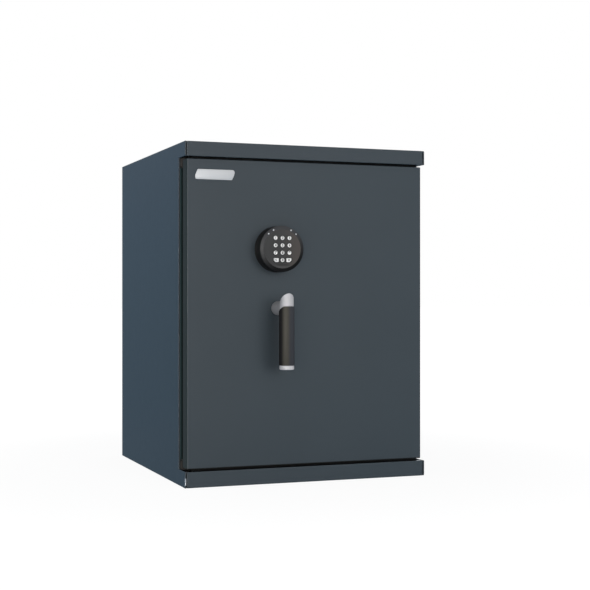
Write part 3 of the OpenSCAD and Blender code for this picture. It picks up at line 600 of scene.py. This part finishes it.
# The plug: a sheet closes the pan's back, and a folded ring on it steps into the frame. A cover
# closes the bolt work inside the ring, and fixed dogs of ground steel hold the hinge side.
PLUG_DEEP = rgb(98, 103, 108)
PLUG_LIGHT = rgb(104, 109, 114)
plug_coat = finish("mid_grey_coat", lambda w: powder_coat(w, PLUG_DEEP, PLUG_LIGHT))
dress("door_back_sheet plug_ring", plug_coat, soften=0.0007)
dress("plug_cover", grey_coat, soften=0.0006)
ground_dogs = finish("ground_dogs", lambda w: turned_steel(w, roughness=0.32))
dress("hinge_dogs", ground_dogs, soften=0.0008)

# The cover's screws: six domed steel heads that hold the cover to the plug ring. Each has a cross
# recess, which the punch left deepest in the middle.
SCREW_R = 0.004
SCREW_DOME = 0.0019
SCREW_RIM = 0.0004
SCREW_IN = 0.001
SCREW_SUNK = 0.0002
SCREW_SIDES = 64
SCREW_STEPS = 13
CROSS_LONG = 0.0021
CROSS_WIDE = 0.00045
CROSS_DEEP = 0.0011
SCREW_STEEL = rgb(190, 192, 194)
screw_low, screw_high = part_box("cover_screws")
cover_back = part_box("plug_cover")[1].y


def screw_points(x, z):
    """A domed head seen from behind the door, with the cross of its recess pressed into it."""
    seat = cover_back - SCREW_SUNK
    neck = SCREW_R * 0.5
    rings = [(neck, -SCREW_IN, 0.0), (neck, 0.0, 0.0)]
    rings += [(SCREW_R, 0.0, 0.0), (SCREW_R, SCREW_RIM, 0.0)]
    for k in range(1, SCREW_STEPS):
        turn = math.pi / 2 * k / SCREW_STEPS
        height = SCREW_RIM + (SCREW_DOME - SCREW_RIM) * math.sin(turn)
        rings.append((SCREW_R * math.cos(turn), height, 1.0))
    ring_points = []
    for r, h, domed in rings:
        ring = []
        for i in range(SCREW_SIDES):
            a = 2 * math.pi * (i + 0.5) / SCREW_SIDES
            u, v = r * math.cos(a), r * math.sin(a)
            inside = min(abs(u), abs(v)) < CROSS_WIDE and max(abs(u), abs(v)) < CROSS_LONG
            sunk = CROSS_DEEP * (1 - max(abs(u), abs(v)) / CROSS_LONG) if domed and inside else 0
            ring.append((x + u, seat + h - sunk, z + v))
        ring_points.append(ring)
    ring_points.append([(x, seat + SCREW_DOME - CROSS_DEEP, z)])
    return ring_points


screw_steel = finish("screw_steel", lambda w: turned_steel(w, SCREW_STEEL, 0.20, across=1))
screws, screw_faces = [], []
screw_xs = (screw_low.x + SCREW_R, (screw_low.x + screw_high.x) / 2, screw_high.x - SCREW_R)
for x in screw_xs:
    for z in (screw_low.z + SCREW_R, screw_high.z - SCREW_R):
        points, faces = lofted(screw_points(x, z))
        screw_faces += [[len(screws) + i for i in face] for face in faces]
        screws += points
piece("cover_screw_heads", screws, screw_faces, screw_steel, "door", "bright_steel",
      ["cover_screws"], crease=50)

# The bolt work: three ground bolts on a carriage bar that the handle's crank pushes, running in
# bronze guides, and a cast lock case whose own bolt drops behind a lug of the carriage.
GROUND_STEEL = rgb(186, 188, 190)
BRONZE = rgb(186, 146, 88)
ground_bar = finish("ground_bolts", lambda w: turned_steel(w, GROUND_STEEL, 0.16, across=0))
dress("locking_bolts", ground_bar, soften=0.0012)
sawn_plate = finish("sawn_plate", lambda w: turned_steel(w, roughness=0.34))
dress("bolt_carriage bolt_crank", sawn_plate, soften=0.0004)
turned_spindle = finish("turned_spindle", lambda w: turned_steel(w, across=1))
dress("handle_spindle", turned_spindle, soften=0.0005)
bronze = finish("turned_bronze", lambda w: turned_steel(w, BRONZE, 0.28, across=0))
dress("bolt_guides spindle_bush lock_bolt", bronze, soften=0.0004)
dress("lock_case", zinc_plate, soften=0.0012)

# The keypad's housing: a base ring screwed to the door and a round drum that snaps on to it, both
# moulded in black plastic. The drum's sloping shoulder carries the lamps.
pad_low, pad_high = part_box("keypad_base")
pad_x = (pad_low.x + pad_high.x) / 2
pad_z = (pad_low.z + pad_high.z) / 2
pad_back = pad_high.y


def on_pad(u, v, p):
    """The spot u to the right, v up and p out of the door from the keypad's axis."""
    return (pad_x + u, pad_back - p, pad_z + v)


def turned(profile, place, sides=128, closed=False):
    """Points and faces of a profile of (radius, height) pairs, turned about its axis."""
    rings = []
    for r, h in profile:
        if r == 0:
            rings.append([place(0, 0, h)])
        else:
            turn = [2 * math.pi * i / sides for i in range(sides)]
            rings.append([place(r * math.cos(a), r * math.sin(a), h) for a in turn])
    return lofted(rings, closed)


def mm(profile):
    """An outline given in millimetres, in metres."""
    return [tuple(c / 1000 for c in corner) for corner in profile]


PLASTIC_GRAIN = 1900
WIPE_SCALE = 30


def moulded(w, colour, roughness, grain_depth, specular=0.5):
    """Sockets of moulded plastic with a fine spark grain."""
    spot = w.spot()
    grain = spot.noise(PLASTIC_GRAIN, 2.0)
    wipe = spot.noise(WIPE_SCALE, 3.0).between(0.3, 0.75)
    return {
        "Base Color": (wipe * 0.3).colours(colour, toned(colour, 1.5)),
        "Specular IOR Level": specular,
        "Roughness": roughness + grain * 0.08 + wipe * 0.06,
        "Normal": grain.relief(grain_depth),
    }


DRUM_BLACK = rgb(13, 13, 13)
SHOULDER_BLACK = rgb(12, 12, 13)
SHOULDER_PAINTED_HIGHLIGHT = rgb(62, 63, 65)
HIGHLIGHT_SLOPE = 0.35
HIGHLIGHT_SPAN = (-0.036, 0.03)
base_ring = outline(mm([(6, 0), (44.3, 0), (44.3, 3.0, 0.5), (6, 3.0)]), steps=5)
drum_side = outline(mm([
    (41.5, 3), (44.0, 3, 0.2), (43.82, 30.2, 0.3), (41.3, 30.2)]), steps=6)
shoulder = outline(mm([
    (41.3, 30.1), (43.8, 30.1, 0.15), (43.8, 30.6, 0.25), (38.0, 33.6, 0.9), (37.02, 33.6, 0.15),
    (37.02, 31.1), (34.5, 31.1), (34.5, 29.6), (41.3, 29.6)]), steps=6)


def drum_look(w):
    """Black plastic with a fine grain, and little shine."""
    return moulded(w, DRUM_BLACK, roughness=0.4, grain_depth=0.000008, specular=0.14)


def shoulder_look(w):
    """The shoulder, with a painted highlight up on the left, and dark at its foot."""
    spot = w.spot()
    u, v = spot.axis(0) - pad_x, spot.axis(2) - pad_z
    sockets = moulded(w, SHOULDER_BLACK, roughness=0.5, grain_depth=0.00001, specular=0.15)
    # Painted highlight on the shoulder's upper left.
    painted_light = (v - u * HIGHLIGHT_SLOPE).between(*HIGHLIGHT_SPAN)
    sockets["Base Color"] = painted_light.colours(sockets["Base Color"], SHOULDER_PAINTED_HIGHLIGHT)
    return sockets


pad_black = finish("keypad_black", drum_look)
shoulder_grey = finish("keypad_shoulder", shoulder_look)
for name, profile, material, node in (
        ("keypad_base_ring", base_ring, pad_black, "keypad_base"),
        ("keypad_side", drum_side, pad_black, "keypad_housing"),
        ("keypad_shoulder", shoulder, shoulder_grey, "keypad_housing")):
    piece(name, *turned(profile, on_pad, closed=True), material, "door", "keypad_black", [node])

# The keypad's face: a satin disc let into the drum, with a hole for each key and a shallow recess
# for a fingertip moulded in below them. It has a painted warm reflection on the right, a painted
# highlight at its foot, and painted shade in the recess.
FACE_GREY = rgb(38, 38, 38)
FACE_PAINTED_WARM_LIGHT = rgb(60, 53, 49)
FACE_FOOT_PAINTED_LIGHT = rgb(62, 62, 61)
RECESS_PAINTED_SHADE = rgb(16, 16, 17)
RECESS_DEPTH = 0.0004
RECESS_UPPER = (0.0437, 0.0443)
RECESS_LOWER = (0.0805, 0.0811)
RECESS_UPPER_DOWN = 0.0721
RECESS_LOWER_UP = 0.0481
WARM_LIGHT_RIGHT = (-0.006, 0.034)
FOOT_SPAN = (-0.035, -0.030)


def face_look(w):
    """The satin face. Its recess is painted in shade, in the lens shape two circles have in common.
    """
    spot = w.spot()
    u, v = spot.axis(0) - pad_x, spot.axis(2) - pad_z
    sockets = moulded(w, FACE_GREY, roughness=0.36, grain_depth=0.000007)
    # Painted warm reflection on the face's right side.
    painted_light = u.between(*WARM_LIGHT_RIGHT).colours(sockets["Base Color"], FACE_PAINTED_WARM_LIGHT)
    below, above = v + RECESS_UPPER_DOWN, v - RECESS_LOWER_UP
    upper = w.maths("SQRT", u * u + below * below)
    lower = w.maths("SQRT", u * u + above * above)
    recess = (1 - upper.between(*RECESS_UPPER)) * (1 - lower.between(*RECESS_LOWER))
    # Painted highlight on the band below the recess.
    foot = (1 - v.between(*FOOT_SPAN)) * 0.5
    grain = spot.noise(PLASTIC_GRAIN, 2.0) * 0.02
    pale = foot.colours(painted_light, FACE_FOOT_PAINTED_LIGHT)
    # Painted shade in the recess.
    sockets["Base Color"] = (recess * 0.7).colours(pale, RECESS_PAINTED_SHADE)
    sockets["Normal"] = (grain - recess).relief(RECESS_DEPTH)
    return sockets


dress("keypad_face", finish("keypad_face", face_look))

# The lamps: four small clear lenses over silvered cups, pressed into the keypad's shoulder in two
# pairs. Each stands square to the slope.
LENS_DEEP = rgb(226, 230, 234)
LENS_LIGHT = rgb(240, 243, 246)
FROST_SCALE = 2600


def lamp_look(w):
    """A clear lens over a silvered cup: bright, with a faint frost under a clear coat."""
    frost = w.spot().noise(FROST_SCALE, 2.0)
    return {
        "Base Color": frost.colours(LENS_DEEP, LENS_LIGHT),
        "Roughness": 0.3 + frost * 0.1,
        "Coat Weight": 0.6,
    }


LAMP_R = 0.0014
LAMP_PROUD = 0.0010
LAMP_OUT = 0.0395
LAMP_P = 0.0328
LAMP_TILT = math.radians(62.7)
LAMP_ANGLES = (45.7, 63.4, 116.6, 134.3)
LAMP_SIDES = 32
LAMP_STEPS = 8
LAMP_IN = 0.0008
LAMP_RIM = 0.0002
lamp_caps = finish("lamp_caps", lamp_look)
lamp_points, lamp_faces = [], []
for degrees in LAMP_ANGLES:
    a = math.radians(degrees)

    def on_lamp(x, y, h):
        """The lamp's own axis leans out over the shoulder."""
        out = LAMP_OUT + x * math.sin(LAMP_TILT) + h * math.cos(LAMP_TILT)
        p = LAMP_P - x * math.cos(LAMP_TILT) + h * math.sin(LAMP_TILT)
        return on_pad(out * math.cos(a) - y * math.sin(a), out * math.sin(a) + y * math.cos(a), p)

    dome = [(LAMP_R, -LAMP_IN), (LAMP_R, LAMP_RIM)]
    for k in range(1, LAMP_STEPS):
        turn = math.pi / 2 * k / LAMP_STEPS
        height = LAMP_RIM + (LAMP_PROUD - LAMP_RIM) * math.sin(turn)
        dome.append((LAMP_R * math.cos(turn), height))
    dome.append((0, LAMP_PROUD))
    points, faces = turned(dome, on_lamp, LAMP_SIDES)
    lamp_faces += [[len(lamp_points) + k for k in face] for face in faces]
    lamp_points += points
piece("lamp_lenses", lamp_points, lamp_faces, lamp_caps, "door", "lamp_silver", ["keypad_lamps"])

# Inside the keypad: a rubber mat that springs the keys back, a printed circuit board under it
# that they press on, and the battery in its case.
MAT_GREY = rgb(52, 52, 53)
BATTERY_GREY = rgb(58, 62, 66)
RESIST_GREEN = rgb(22, 82, 48)
TRACK_GREEN = rgb(44, 112, 66)
TRACK_SCALE = 420
TRACK_STRETCH = (1.0, 1.0, 3.0)
TRACK_DEPTH = 0.00003


def board_look(w):
    """Green solder resist over copper, which shows as paler tracks."""
    spot = w.spot()
    track = spot.stretched(TRACK_STRETCH).noise(TRACK_SCALE, 1.0).between(0.56, 0.6)
    return {
        "Base Color": track.colours(RESIST_GREEN, TRACK_GREEN),
        "Roughness": 0.32 + track * 0.1,
        "Normal": track.relief(TRACK_DEPTH),
    }


dress("key_mat", finish("key_mat", lambda w: moulded(w, MAT_GREY, 0.6, 0.00001)))
dress("keypad_board", finish("solder_resist", board_look), soften=0.0002)
battery_case = finish("battery_case", lambda w: moulded(w, BATTERY_GREY, 0.3, 0.000006))
dress("battery", battery_case, soften=0.0010)

# The keys: moulded white caps that stand out of the face, each in a dark bezel, with its digit
# printed on it. The two wide keys beside the zero clear and enter a code.
KEY_PITCH = 0.014
KEY_DROP = 0.0004
KEY_R = 0.00388
WIDE_KEY = 0.0102
KEY_CUT = KEY_R * 0.8
TURN_R = 0.0012
CUT_TURN_R = 0.0022
KEY_NAMES = ["1", "2", "3", "4", "5", "6", "7", "8", "9", "clear", "0", "enter"]


def key_centre(i):
    """Where key i sits on the face. A wide key's outer side is in line with its column's."""
    column, row = i % 3 - 1, i // 3
    shift = (WIDE_KEY / 2 - KEY_R) * {9: 1, 11: -1}.get(i, 0)
    return column * KEY_PITCH + shift, (1.5 - row) * KEY_PITCH - KEY_DROP


def key_ring(i, grow, p, steps=14):
    """Outline of key i, grown by grow: a circle, or a wide key with its outer lower corner cut."""
    u, v = key_centre(i)
    if i not in (9, 11):
        sides = 4 * (steps + 2)
        turn = [2 * math.pi * k / sides for k in range(sides)]
        return [on_pad(u + (KEY_R + grow) * math.cos(a), v + (KEY_R + grow) * math.sin(a), p)
                for a in turn]
    side = 1 if i == 9 else -1
    w, h = WIDE_KEY / 2 + grow, KEY_R + grow
    corners = [(-w, h, TURN_R), (w, h, TURN_R), (w, -h, TURN_R), (KEY_CUT - w, -h, CUT_TURN_R),
               (-w, KEY_CUT - h, CUT_TURN_R)]
    return [on_pad(u + side * x, v + y, p) for x, y in outline(corners, steps)]


FACE_P = 0.0336
HOLE_GAP = 0.00012
KEY_SLIM = 0.00025
BEZEL_BLACK = rgb(12, 12, 12)
BEZEL_PROFILE = [
    (HOLE_GAP - KEY_SLIM, -0.001), (HOLE_GAP - KEY_SLIM, 0.00005),
    (HOLE_GAP - KEY_SLIM + 0.0003, 0.00025), (HOLE_GAP + 0.0011, 0.0002),
    (HOLE_GAP + 0.0013, 0.0), (HOLE_GAP + 0.0013, -0.0002),
]
bezel_points, bezel_faces = [], []
for i in range(len(KEY_NAMES)):
    rings = [key_ring(i, grow, FACE_P + p) for grow, p in BEZEL_PROFILE]
    points, faces = lofted(rings, closed=True)
    bezel_faces += [[len(bezel_points) + k for k in face] for face in faces]
    bezel_points += points
bezel_black = finish("key_bezels", lambda w: moulded(w, BEZEL_BLACK, 0.5, 0.000005))
piece("key_bezels", bezel_points, bezel_faces, bezel_black, "door", "keypad_black")

KEY_DEEP = rgb(238, 238, 236)
KEY_LIGHT = rgb(246, 246, 244)
PRINT_BLACK = rgb(24, 24, 26)
MILK_SCALE = 180
KEY_GRAIN = 2200
KEY_GRAIN_DEPTH = 0.000004


def key_look(w):
    """Milky white plastic with a very fine grain."""
    spot = w.spot()
    milky = spot.noise(MILK_SCALE, 2.0)
    return {
        "Base Color": milky.colours(KEY_DEEP, KEY_LIGHT),
        "Roughness": 0.34 + milky * 0.1,
        "Normal": spot.noise(KEY_GRAIN, 1.0).relief(KEY_GRAIN_DEPTH),
    }


key_white = finish("key_white", key_look)
key_print = finish("key_print", lambda w: moulded(w, PRINT_BLACK, 0.5, 0.000004))
KEY_PROUD = 0.0012
FLANGE_OUT = 0.0012
FLANGE_THICK = 0.0009
DIGIT_HIGH = 0.0048
WORD_HIGH = 0.0036
TYPE_SIZE = 1.4
PRINT_THICK = 0.00003
PRINT_BOLD = 0.0002
flange_back = pad_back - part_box("key_1")[1].y
flange_front = flange_back + FLANGE_THICK
key_top = FACE_P + KEY_PROUD
KEY_PROFILE = [
    (FLANGE_OUT, flange_back), (FLANGE_OUT, flange_front), (-KEY_SLIM, flange_front),
    (-KEY_SLIM, key_top - 0.0005), (-KEY_SLIM - 0.0001, key_top - 0.0002),
    (-KEY_SLIM - 0.0004, key_top), (-0.0016, key_top + 0.00002),
]
for i, name in enumerate(KEY_NAMES):
    node = "key_" + name
    rings = [key_ring(i, grow, p) for grow, p in KEY_PROFILE]
    piece(node + "_cap", *lofted(rings), key_white, node, "key_white", [node])
    letters = bpy.data.curves.new(node + "_print", "FONT")
    letters.body = {"clear": "C", "enter": "E"}.get(name, name)
    letters.size = (WORD_HIGH if name in ("clear", "enter") else DIGIT_HIGH) * TYPE_SIZE
    letters.align_x = "CENTER"
    letters.align_y = "CENTER"
    letters.extrude = PRINT_THICK
    letters.offset = PRINT_BOLD
    made = bpy.data.objects.new(node + "_print", letters)
    u, v = key_centre(i)
    made.location = on_pad(u, v, key_top + PRINT_THICK)
    made.rotation_euler = (math.radians(90), 0, 0)
    letters.materials.append(key_print)
    bpy.context.scene.collection.objects.link(made)
    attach(made, node)

# The handle: a cast silver stem and upright tube in one, blasted and lacquered, its top cut at
# a slant. The spindle's end is fixed in the stem, which stops close in front of the door.
tube_low, tube_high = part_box("handle_tube")
sleeve_low, sleeve_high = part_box("grip_sleeve")
TUBE_R = 0.0130
STEM_R = 0.0134
SLEEVE_R = 0.0149
SPINDLE_R = 0.008
RIM = 0.0018
RIM_STEPS = 6
FOOT_BAND = 0.01
CUT_SHARES = (0.8, 0.55, 0.3)
GRIP_SIDES = 160
# The stem's silver is toned darker than the tube's, as painted shade under the tube.
STEM_SHADE_TONE = 0.8
SILVER_DEEP = (181, 181, 184)
SILVER_LIGHT = (191, 191, 194)
DRAW_ALONG = 6.0
DRAW_ROUND = 700.0
BLAST_SCALE = 4200
BLAST_DEPTH = 0.000004
grip_x = (sleeve_low.x + sleeve_high.x) / 2
grip_y = sleeve_low.y + SLEEVE_R
stem_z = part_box("handle_spindle")[0].z + SPINDLE_R
stem_back = tube_high.y


def satin_silver(w, along=2, tone=1.0):
    """Sockets of blasted and lacquered silver, with faint draw marks along one axis."""
    spot = w.spot()
    scale = [DRAW_ROUND] * 3
    scale[along] = DRAW_ALONG
    draw = spot.stretched(tuple(scale)).noise(1.0, 2.0)
    blast = spot.noise(BLAST_SCALE, 1.0)
    deep = rgb(*(c * tone for c in SILVER_DEEP))
    light = rgb(*(c * tone for c in SILVER_LIGHT))
    return {
        "Base Color": draw.colours(deep, light),
        "Metallic": 0.2,
        "Roughness": 0.64 + draw * 0.1,
        "Normal": (blast * 0.5 + draw).relief(BLAST_DEPTH),
    }


def slant(y):
    """Height of the slanted cut, which falls towards the door."""
    return tube_high.z - (y - (grip_y - TUBE_R))


def round_ring(r, height):
    """A ring about the grip's axis, whose height is a number or a function of x and y."""
    ring = []
    for i in range(GRIP_SIDES):
        a = 2 * math.pi * i / GRIP_SIDES
        x, y = grip_x + r * math.cos(a), grip_y + r * math.sin(a)
        ring.append((x, y, height(x, y) if callable(height) else height))
    return ring


tube_rings = [round_ring(TUBE_R, tube_low.z), round_ring(TUBE_R, tube_low.z + FOOT_BAND)]
for k in range(RIM_STEPS + 1):
    a = math.pi / 2 * k / RIM_STEPS
    drop = RIM * (1 - math.sin(a))
    tube_rings.append(round_ring(TUBE_R - RIM * (1 - math.cos(a)), lambda x, y: slant(y) - drop))
for share in CUT_SHARES:
    tube_rings.append(round_ring(TUBE_R * share, lambda x, y: slant(y)))
tube_rings.append([(grip_x, grip_y, slant(grip_y))])
silver = finish("satin_silver", satin_silver)
piece("grip_tube", *lofted(tube_rings), silver, "handle", "handle_silver", ["handle_tube"])

stem_profile = [
    (STEM_R - 0.0008, stem_back), (STEM_R - 0.0002, stem_back - 0.0002),
    (STEM_R, stem_back - 0.0008), (STEM_R, grip_y + 0.003), (STEM_R - 0.004, grip_y),
]
stem_rings = []
for r, y in stem_profile:
    turn = [2 * math.pi * i / GRIP_SIDES for i in range(GRIP_SIDES)]
    stem_rings.append([(grip_x + r * math.cos(a), y, stem_z + r * math.sin(a)) for a in turn])
stem_silver = finish("stem_silver", lambda w: satin_silver(w, along=1, tone=STEM_SHADE_TONE))
piece("grip_stem", *lofted(stem_rings), stem_silver, "handle", "handle_silver", ["handle_tube"])

# The grip sleeve: black rubber moulded over the lower part of the tube. Its upper edge is level
# in front and falls towards the door behind, where it passes under the stem.
SLEEVE_LEVEL = 0.0038
SLEEVE_FALL = math.tan(math.radians(30.5))
SLEEVE_PLAY = 0.00004
INNER_R = TUBE_R + SLEEVE_PLAY
FOOT_TURN = ((0.0006, 0.0), (0.0002, 0.0002), (0.0, 0.0006))
TOP_TURN = ((0.0, 0.0009), (0.00015, 0.00045), (0.0005, 0.0001), (0.0009, 0.0))
RUBBER_WARM_HIGHLIGHT = rgb(62, 60, 53)
RUBBER_COOL_REFLECTION = rgb(52, 54, 59)
RUBBER_LEFT_SHADE = rgb(3, 3, 9)
RIGHT_ACROSS = (0.001, 0.008)
LEFT_ACROSS = (-0.0115, -0.0040)


def sleeve_top(x, y):
    """Height of the sleeve's upper edge: level in front, and falling towards the door behind."""
    fall = max(y - sleeve_low.y - SLEEVE_LEVEL, 0.0) * SLEEVE_FALL
    under = stem_z - math.sqrt(max(STEM_R ** 2 - (x - grip_x) ** 2, 0.0))
    return sleeve_high.z - fall if y < grip_y else min(sleeve_high.z - fall, under)


def lowered(drop):
    """The height of the sleeve's upper edge, less a drop."""
    return lambda x, y: sleeve_top(x, y) - drop


def sleeve_look(w):
    """Black rubber, with a warm painted highlight on its front, a cool painted reflection on its
    right, and painted shade on the hinge side.
    """
    # Painted light and shade: a warm highlight in front, a cool reflection right, shade on the
    # left.
    sockets = moulded(w, RUBBER_WARM_HIGHLIGHT, roughness=0.56, grain_depth=0.00001, specular=0.2)
    across = right_of(w.spot(), grip_x, grip_y)
    right = across.between(*RIGHT_ACROSS)
    left = 1 - across.between(*LEFT_ACROSS)
    colour = right.colours(sockets["Base Color"], RUBBER_COOL_REFLECTION)
    sockets["Base Color"] = left.colours(colour, RUBBER_LEFT_SHADE)
    sockets["Roughness"] = sockets["Roughness"] + left * 0.2
    return sockets


sleeve_rings = [round_ring(INNER_R, sleeve_low.z)]
for inset, height in FOOT_TURN:
    sleeve_rings.append(round_ring(SLEEVE_R - inset, sleeve_low.z + height))
for inset, drop in TOP_TURN:
    sleeve_rings.append(round_ring(SLEEVE_R - inset, lowered(drop)))
sleeve_rings.append(round_ring(INNER_R, lowered(0.0)))
grip_rubber = finish("grip_rubber", sleeve_look)
piece("grip_sleeve_moulding", *lofted(sleeve_rings, closed=True), grip_rubber, "handle",
      "grip_black", ["grip_sleeve"])

# The grip's cap: a silver disc turned with a rounded lower rim, lacquered like the tube and
# pressed into the sleeve's foot on a narrower neck.
cap_low, cap_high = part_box("grip_cap")
CAP_R = 0.0139
CAP_RIM = 0.0024
CAP_TURN = 0.0003
NECK_IN = 0.001
NECK_HIGH = 0.0005
# The cap's silver is toned lighter than the tube's, as painted light.
CAP_LIGHT_TONE = 1.05
neck_low = cap_high.z - NECK_HIGH


def on_grip(u, v, h):
    """The spot u to the right and v behind the grip's axis, at height h."""
    return (grip_x + u, grip_y + v, h)


cap_profile = [(0, cap_low.z)] + outline([
    (0.0, cap_low.z), (CAP_R, cap_low.z, CAP_RIM), (CAP_R, neck_low, CAP_TURN),
    (CAP_R - NECK_IN, neck_low), (CAP_R - NECK_IN, cap_high.z)])[1:]
cap_silver = finish("cap_silver", lambda w: satin_silver(w, tone=CAP_LIGHT_TONE))
piece("grip_end_cap", *turned(cap_profile + [(0, cap_high.z)], on_grip), cap_silver, "handle",
      "handle_silver", ["grip_cap"])

# The badge: a bare silver plate with slanted, slightly bowed ends, stuck to the door's upper
# left corner. Its face is finely brushed along its length, and its front edge is bevelled.
badge_low, badge_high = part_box("badge")
BADGE_SLANT = 0.0064
BADGE_TOE = 0.0004
BADGE_BOW = 0.28
TIP_R = 0.0046
HEEL_R = 0.0016
BOW_R = 0.018
BADGE_DEEP = rgb(185, 188, 191)
BADGE_LIGHT = rgb(195, 198, 201)
BRUSH_SCALES = (14.0, 400.0, 5200.0)
BRUSH_DEPTH = 0.000005


def badge_ring(inset, y):
    """The badge's outline at depth y, drawn in by inset."""
    x1, x2 = badge_low.x + inset, badge_high.x - inset
    z1, z2 = badge_low.z + inset, badge_high.z - inset
    mid = (z1 + z2) / 2
    corners = [
        (x1 + BADGE_TOE, z1, TIP_R), (x2 - BADGE_SLANT, z1, HEEL_R),
        (x2 - BADGE_SLANT * BADGE_BOW, mid, BOW_R), (x2, z2, TIP_R),
        (x1 + BADGE_SLANT, z2, HEEL_R), (x1 + BADGE_SLANT * BADGE_BOW, mid, BOW_R),
    ]
    return [(x, y, z) for x, z in outline(corners, steps=7)]


def brushed(w):
    """Sockets of silver brushed in fine lines along the plate."""
    spot = w.spot()
    lines = spot.stretched(BRUSH_SCALES).noise(1.0, 2.0)
    return {
        "Base Color": lines.colours(BADGE_DEEP, BADGE_LIGHT),
        "Metallic": 0.3,
        "Roughness": 0.5 + lines * 0.1,
        "Normal": lines.relief(BRUSH_DEPTH),
    }


badge_thick = badge_high.y - badge_low.y
badge = [
    badge_ring(0, badge_high.y), badge_ring(0, badge_low.y + badge_thick * 0.4),
    badge_ring(0.00025, badge_low.y + badge_thick * 0.1), badge_ring(0.0006, badge_low.y),
]
piece("bare_badge", *lofted(badge), finish("brushed_badge", brushed), "door", "badge_silver",
      ["badge"])

# The studio: a white floor that keeps a faint shadow, a white surround for the lens and for
# what shines, and four soft lamps. The main one stands in front, a little to the right.
REACH = 30.0
FLOOR_DROP = 0.0003
WHITE = (1.0, 1.0, 1.0, 1.0)
DIM_BLUE = (0.18, 0.30, 0.40, 1.0)
DIM_FLOOR = (0.20, 0.27, 0.33, 1.0)
PAPER = (0.9, 0.9, 0.9, 1.0)
GLOW = 1.05
BEHIND_LEFT = (-0.6, 0.8)
BEHIND_SPAN = (0.1, 0.8)
LEVEL_SPAN = (-0.1, 0.6)
floor_mesh = bpy.data.meshes.new("studio_floor")
floor_z = cad_low.z - FLOOR_DROP
corners = [(-REACH, -REACH), (REACH, -REACH), (REACH, REACH), (-REACH, REACH)]
floor_mesh.from_pydata([(x, y, floor_z) for x, y in corners], [], [(0, 1, 2, 3)])
floor = bpy.data.objects.new("studio_floor", floor_mesh)
bpy.context.scene.collection.objects.link(floor)


def seen(w):
    """1 for what the lens sees, straight or in something shiny or clear, and 0 for the rest."""
    camera_ray = w.node("LightPath", out="Is Camera Ray")
    glossy_ray = w.node("LightPath", out="Is Glossy Ray")
    clear_ray = w.node("LightPath", out="Is Transmission Ray")
    return w.maths("MAXIMUM", camera_ray, w.maths("MAXIMUM", glossy_ray, clear_ray))


def surround(w, heading):
    """White to the lens. What shines sees it white too, but for a dimmer blue grey behind on
    the left, level with the object, where the studio has no paper."""
    behind_left = heading.axis(0) * BEHIND_LEFT[0] + heading.axis(1) * BEHIND_LEFT[1]
    level = 1 - heading.axis(2).between(*LEVEL_SPAN)
    shiny = w.node("LightPath", out="Is Glossy Ray")
    return (shiny * level * behind_left.between(*BEHIND_SPAN)).colours(WHITE, DIM_BLUE)


# The shadow fades out with the distance from the object, so that the floor meets the surround.
SHADOW_KEPT = 0.12
SHADOW_NEAR = 0.45
SHADOW_FAR = 1.3
paper = bpy.data.materials.new("studio_paper")
paper.use_nodes = True
paper.node_tree.nodes.remove(paper.node_tree.nodes["Principled BSDF"])
w = Wire(paper.node_tree)
away = w.node("VectorMath", {"operation": "LENGTH"}, {0: w.spot()}, out=1)
kept = SHADOW_KEPT * (1 - away.between(SHADOW_NEAR, SHADOW_FAR))
matt = w.node("BsdfDiffuse", {}, {"Color": PAPER})
mirrored = w.node("LightPath", out="Is Glossy Ray")
glow = w.node("Emission", {}, {"Color": mirrored.colours(WHITE, DIM_FLOOR), "Strength": GLOW})
both = w.node("MixShader", {}, {0: seen(w) * (1 - kept), 1: matt, 2: glow})
output = paper.node_tree.nodes["Material Output"]
paper.node_tree.links.new(output.inputs["Surface"], both.socket)
floor_mesh.materials.append(paper)

AMBIENT = (0.31, 0.32, 0.34, 1.0)
world = bpy.data.worlds.new("studio_surround")
world.use_nodes = True
w = Wire(world.node_tree)
around = surround(w, w.node("TexCoord", out="Generated"))
sky = world.node_tree.nodes["Background"]
world.node_tree.links.new(sky.inputs["Color"], seen(w).colours(AMBIENT, around).socket)
bpy.context.scene.world = world


def soft_lamp(name, place, aim, size, power, colour, mirrored=True, lighting=True):
    """A round area lamp that faces aim. It can be left out of what shines, or light only that."""
    light = bpy.data.lights.new(name, "AREA")
    light.shape = "DISK"
    light.size = size
    light.energy = power
    light.color = colour
    made = bpy.data.objects.new(name, light)
    made.location = place
    made.rotation_euler = (Vector(aim) - Vector(place)).to_track_quat("-Z", "Y").to_euler()
    made.visible_glossy = mirrored
    made.visible_diffuse = lighting
    bpy.context.scene.collection.objects.link(made)


soft_lamp("main_lamp", place=(0.42, -3.6, 0.48), aim=(0, 0, 0.33), size=2.6, power=85,
          colour=(1.0, 0.985, 0.975), mirrored=False)
soft_lamp("near_lamp", place=(-2.25, -3.15, 0.05), aim=(-0.06, -0.3, 0.28), size=1.9, power=310,
          colour=(1.0, 0.96, 0.89), lighting=False)
soft_lamp("left_lamp", place=(-2.9, 0.3, 0.4), aim=(-0.1, 0, 0.3), size=1.8, power=20,
          colour=(0.91, 0.96, 1.0), mirrored=False)
soft_lamp("top_lamp", place=(-0.3, 0.4, 3.2), aim=(0, 0, 0.5), size=2.0, power=14,
          colour=(1.0, 1.0, 1.0))
bpy.context.scene.view_settings.view_transform = "Standard"
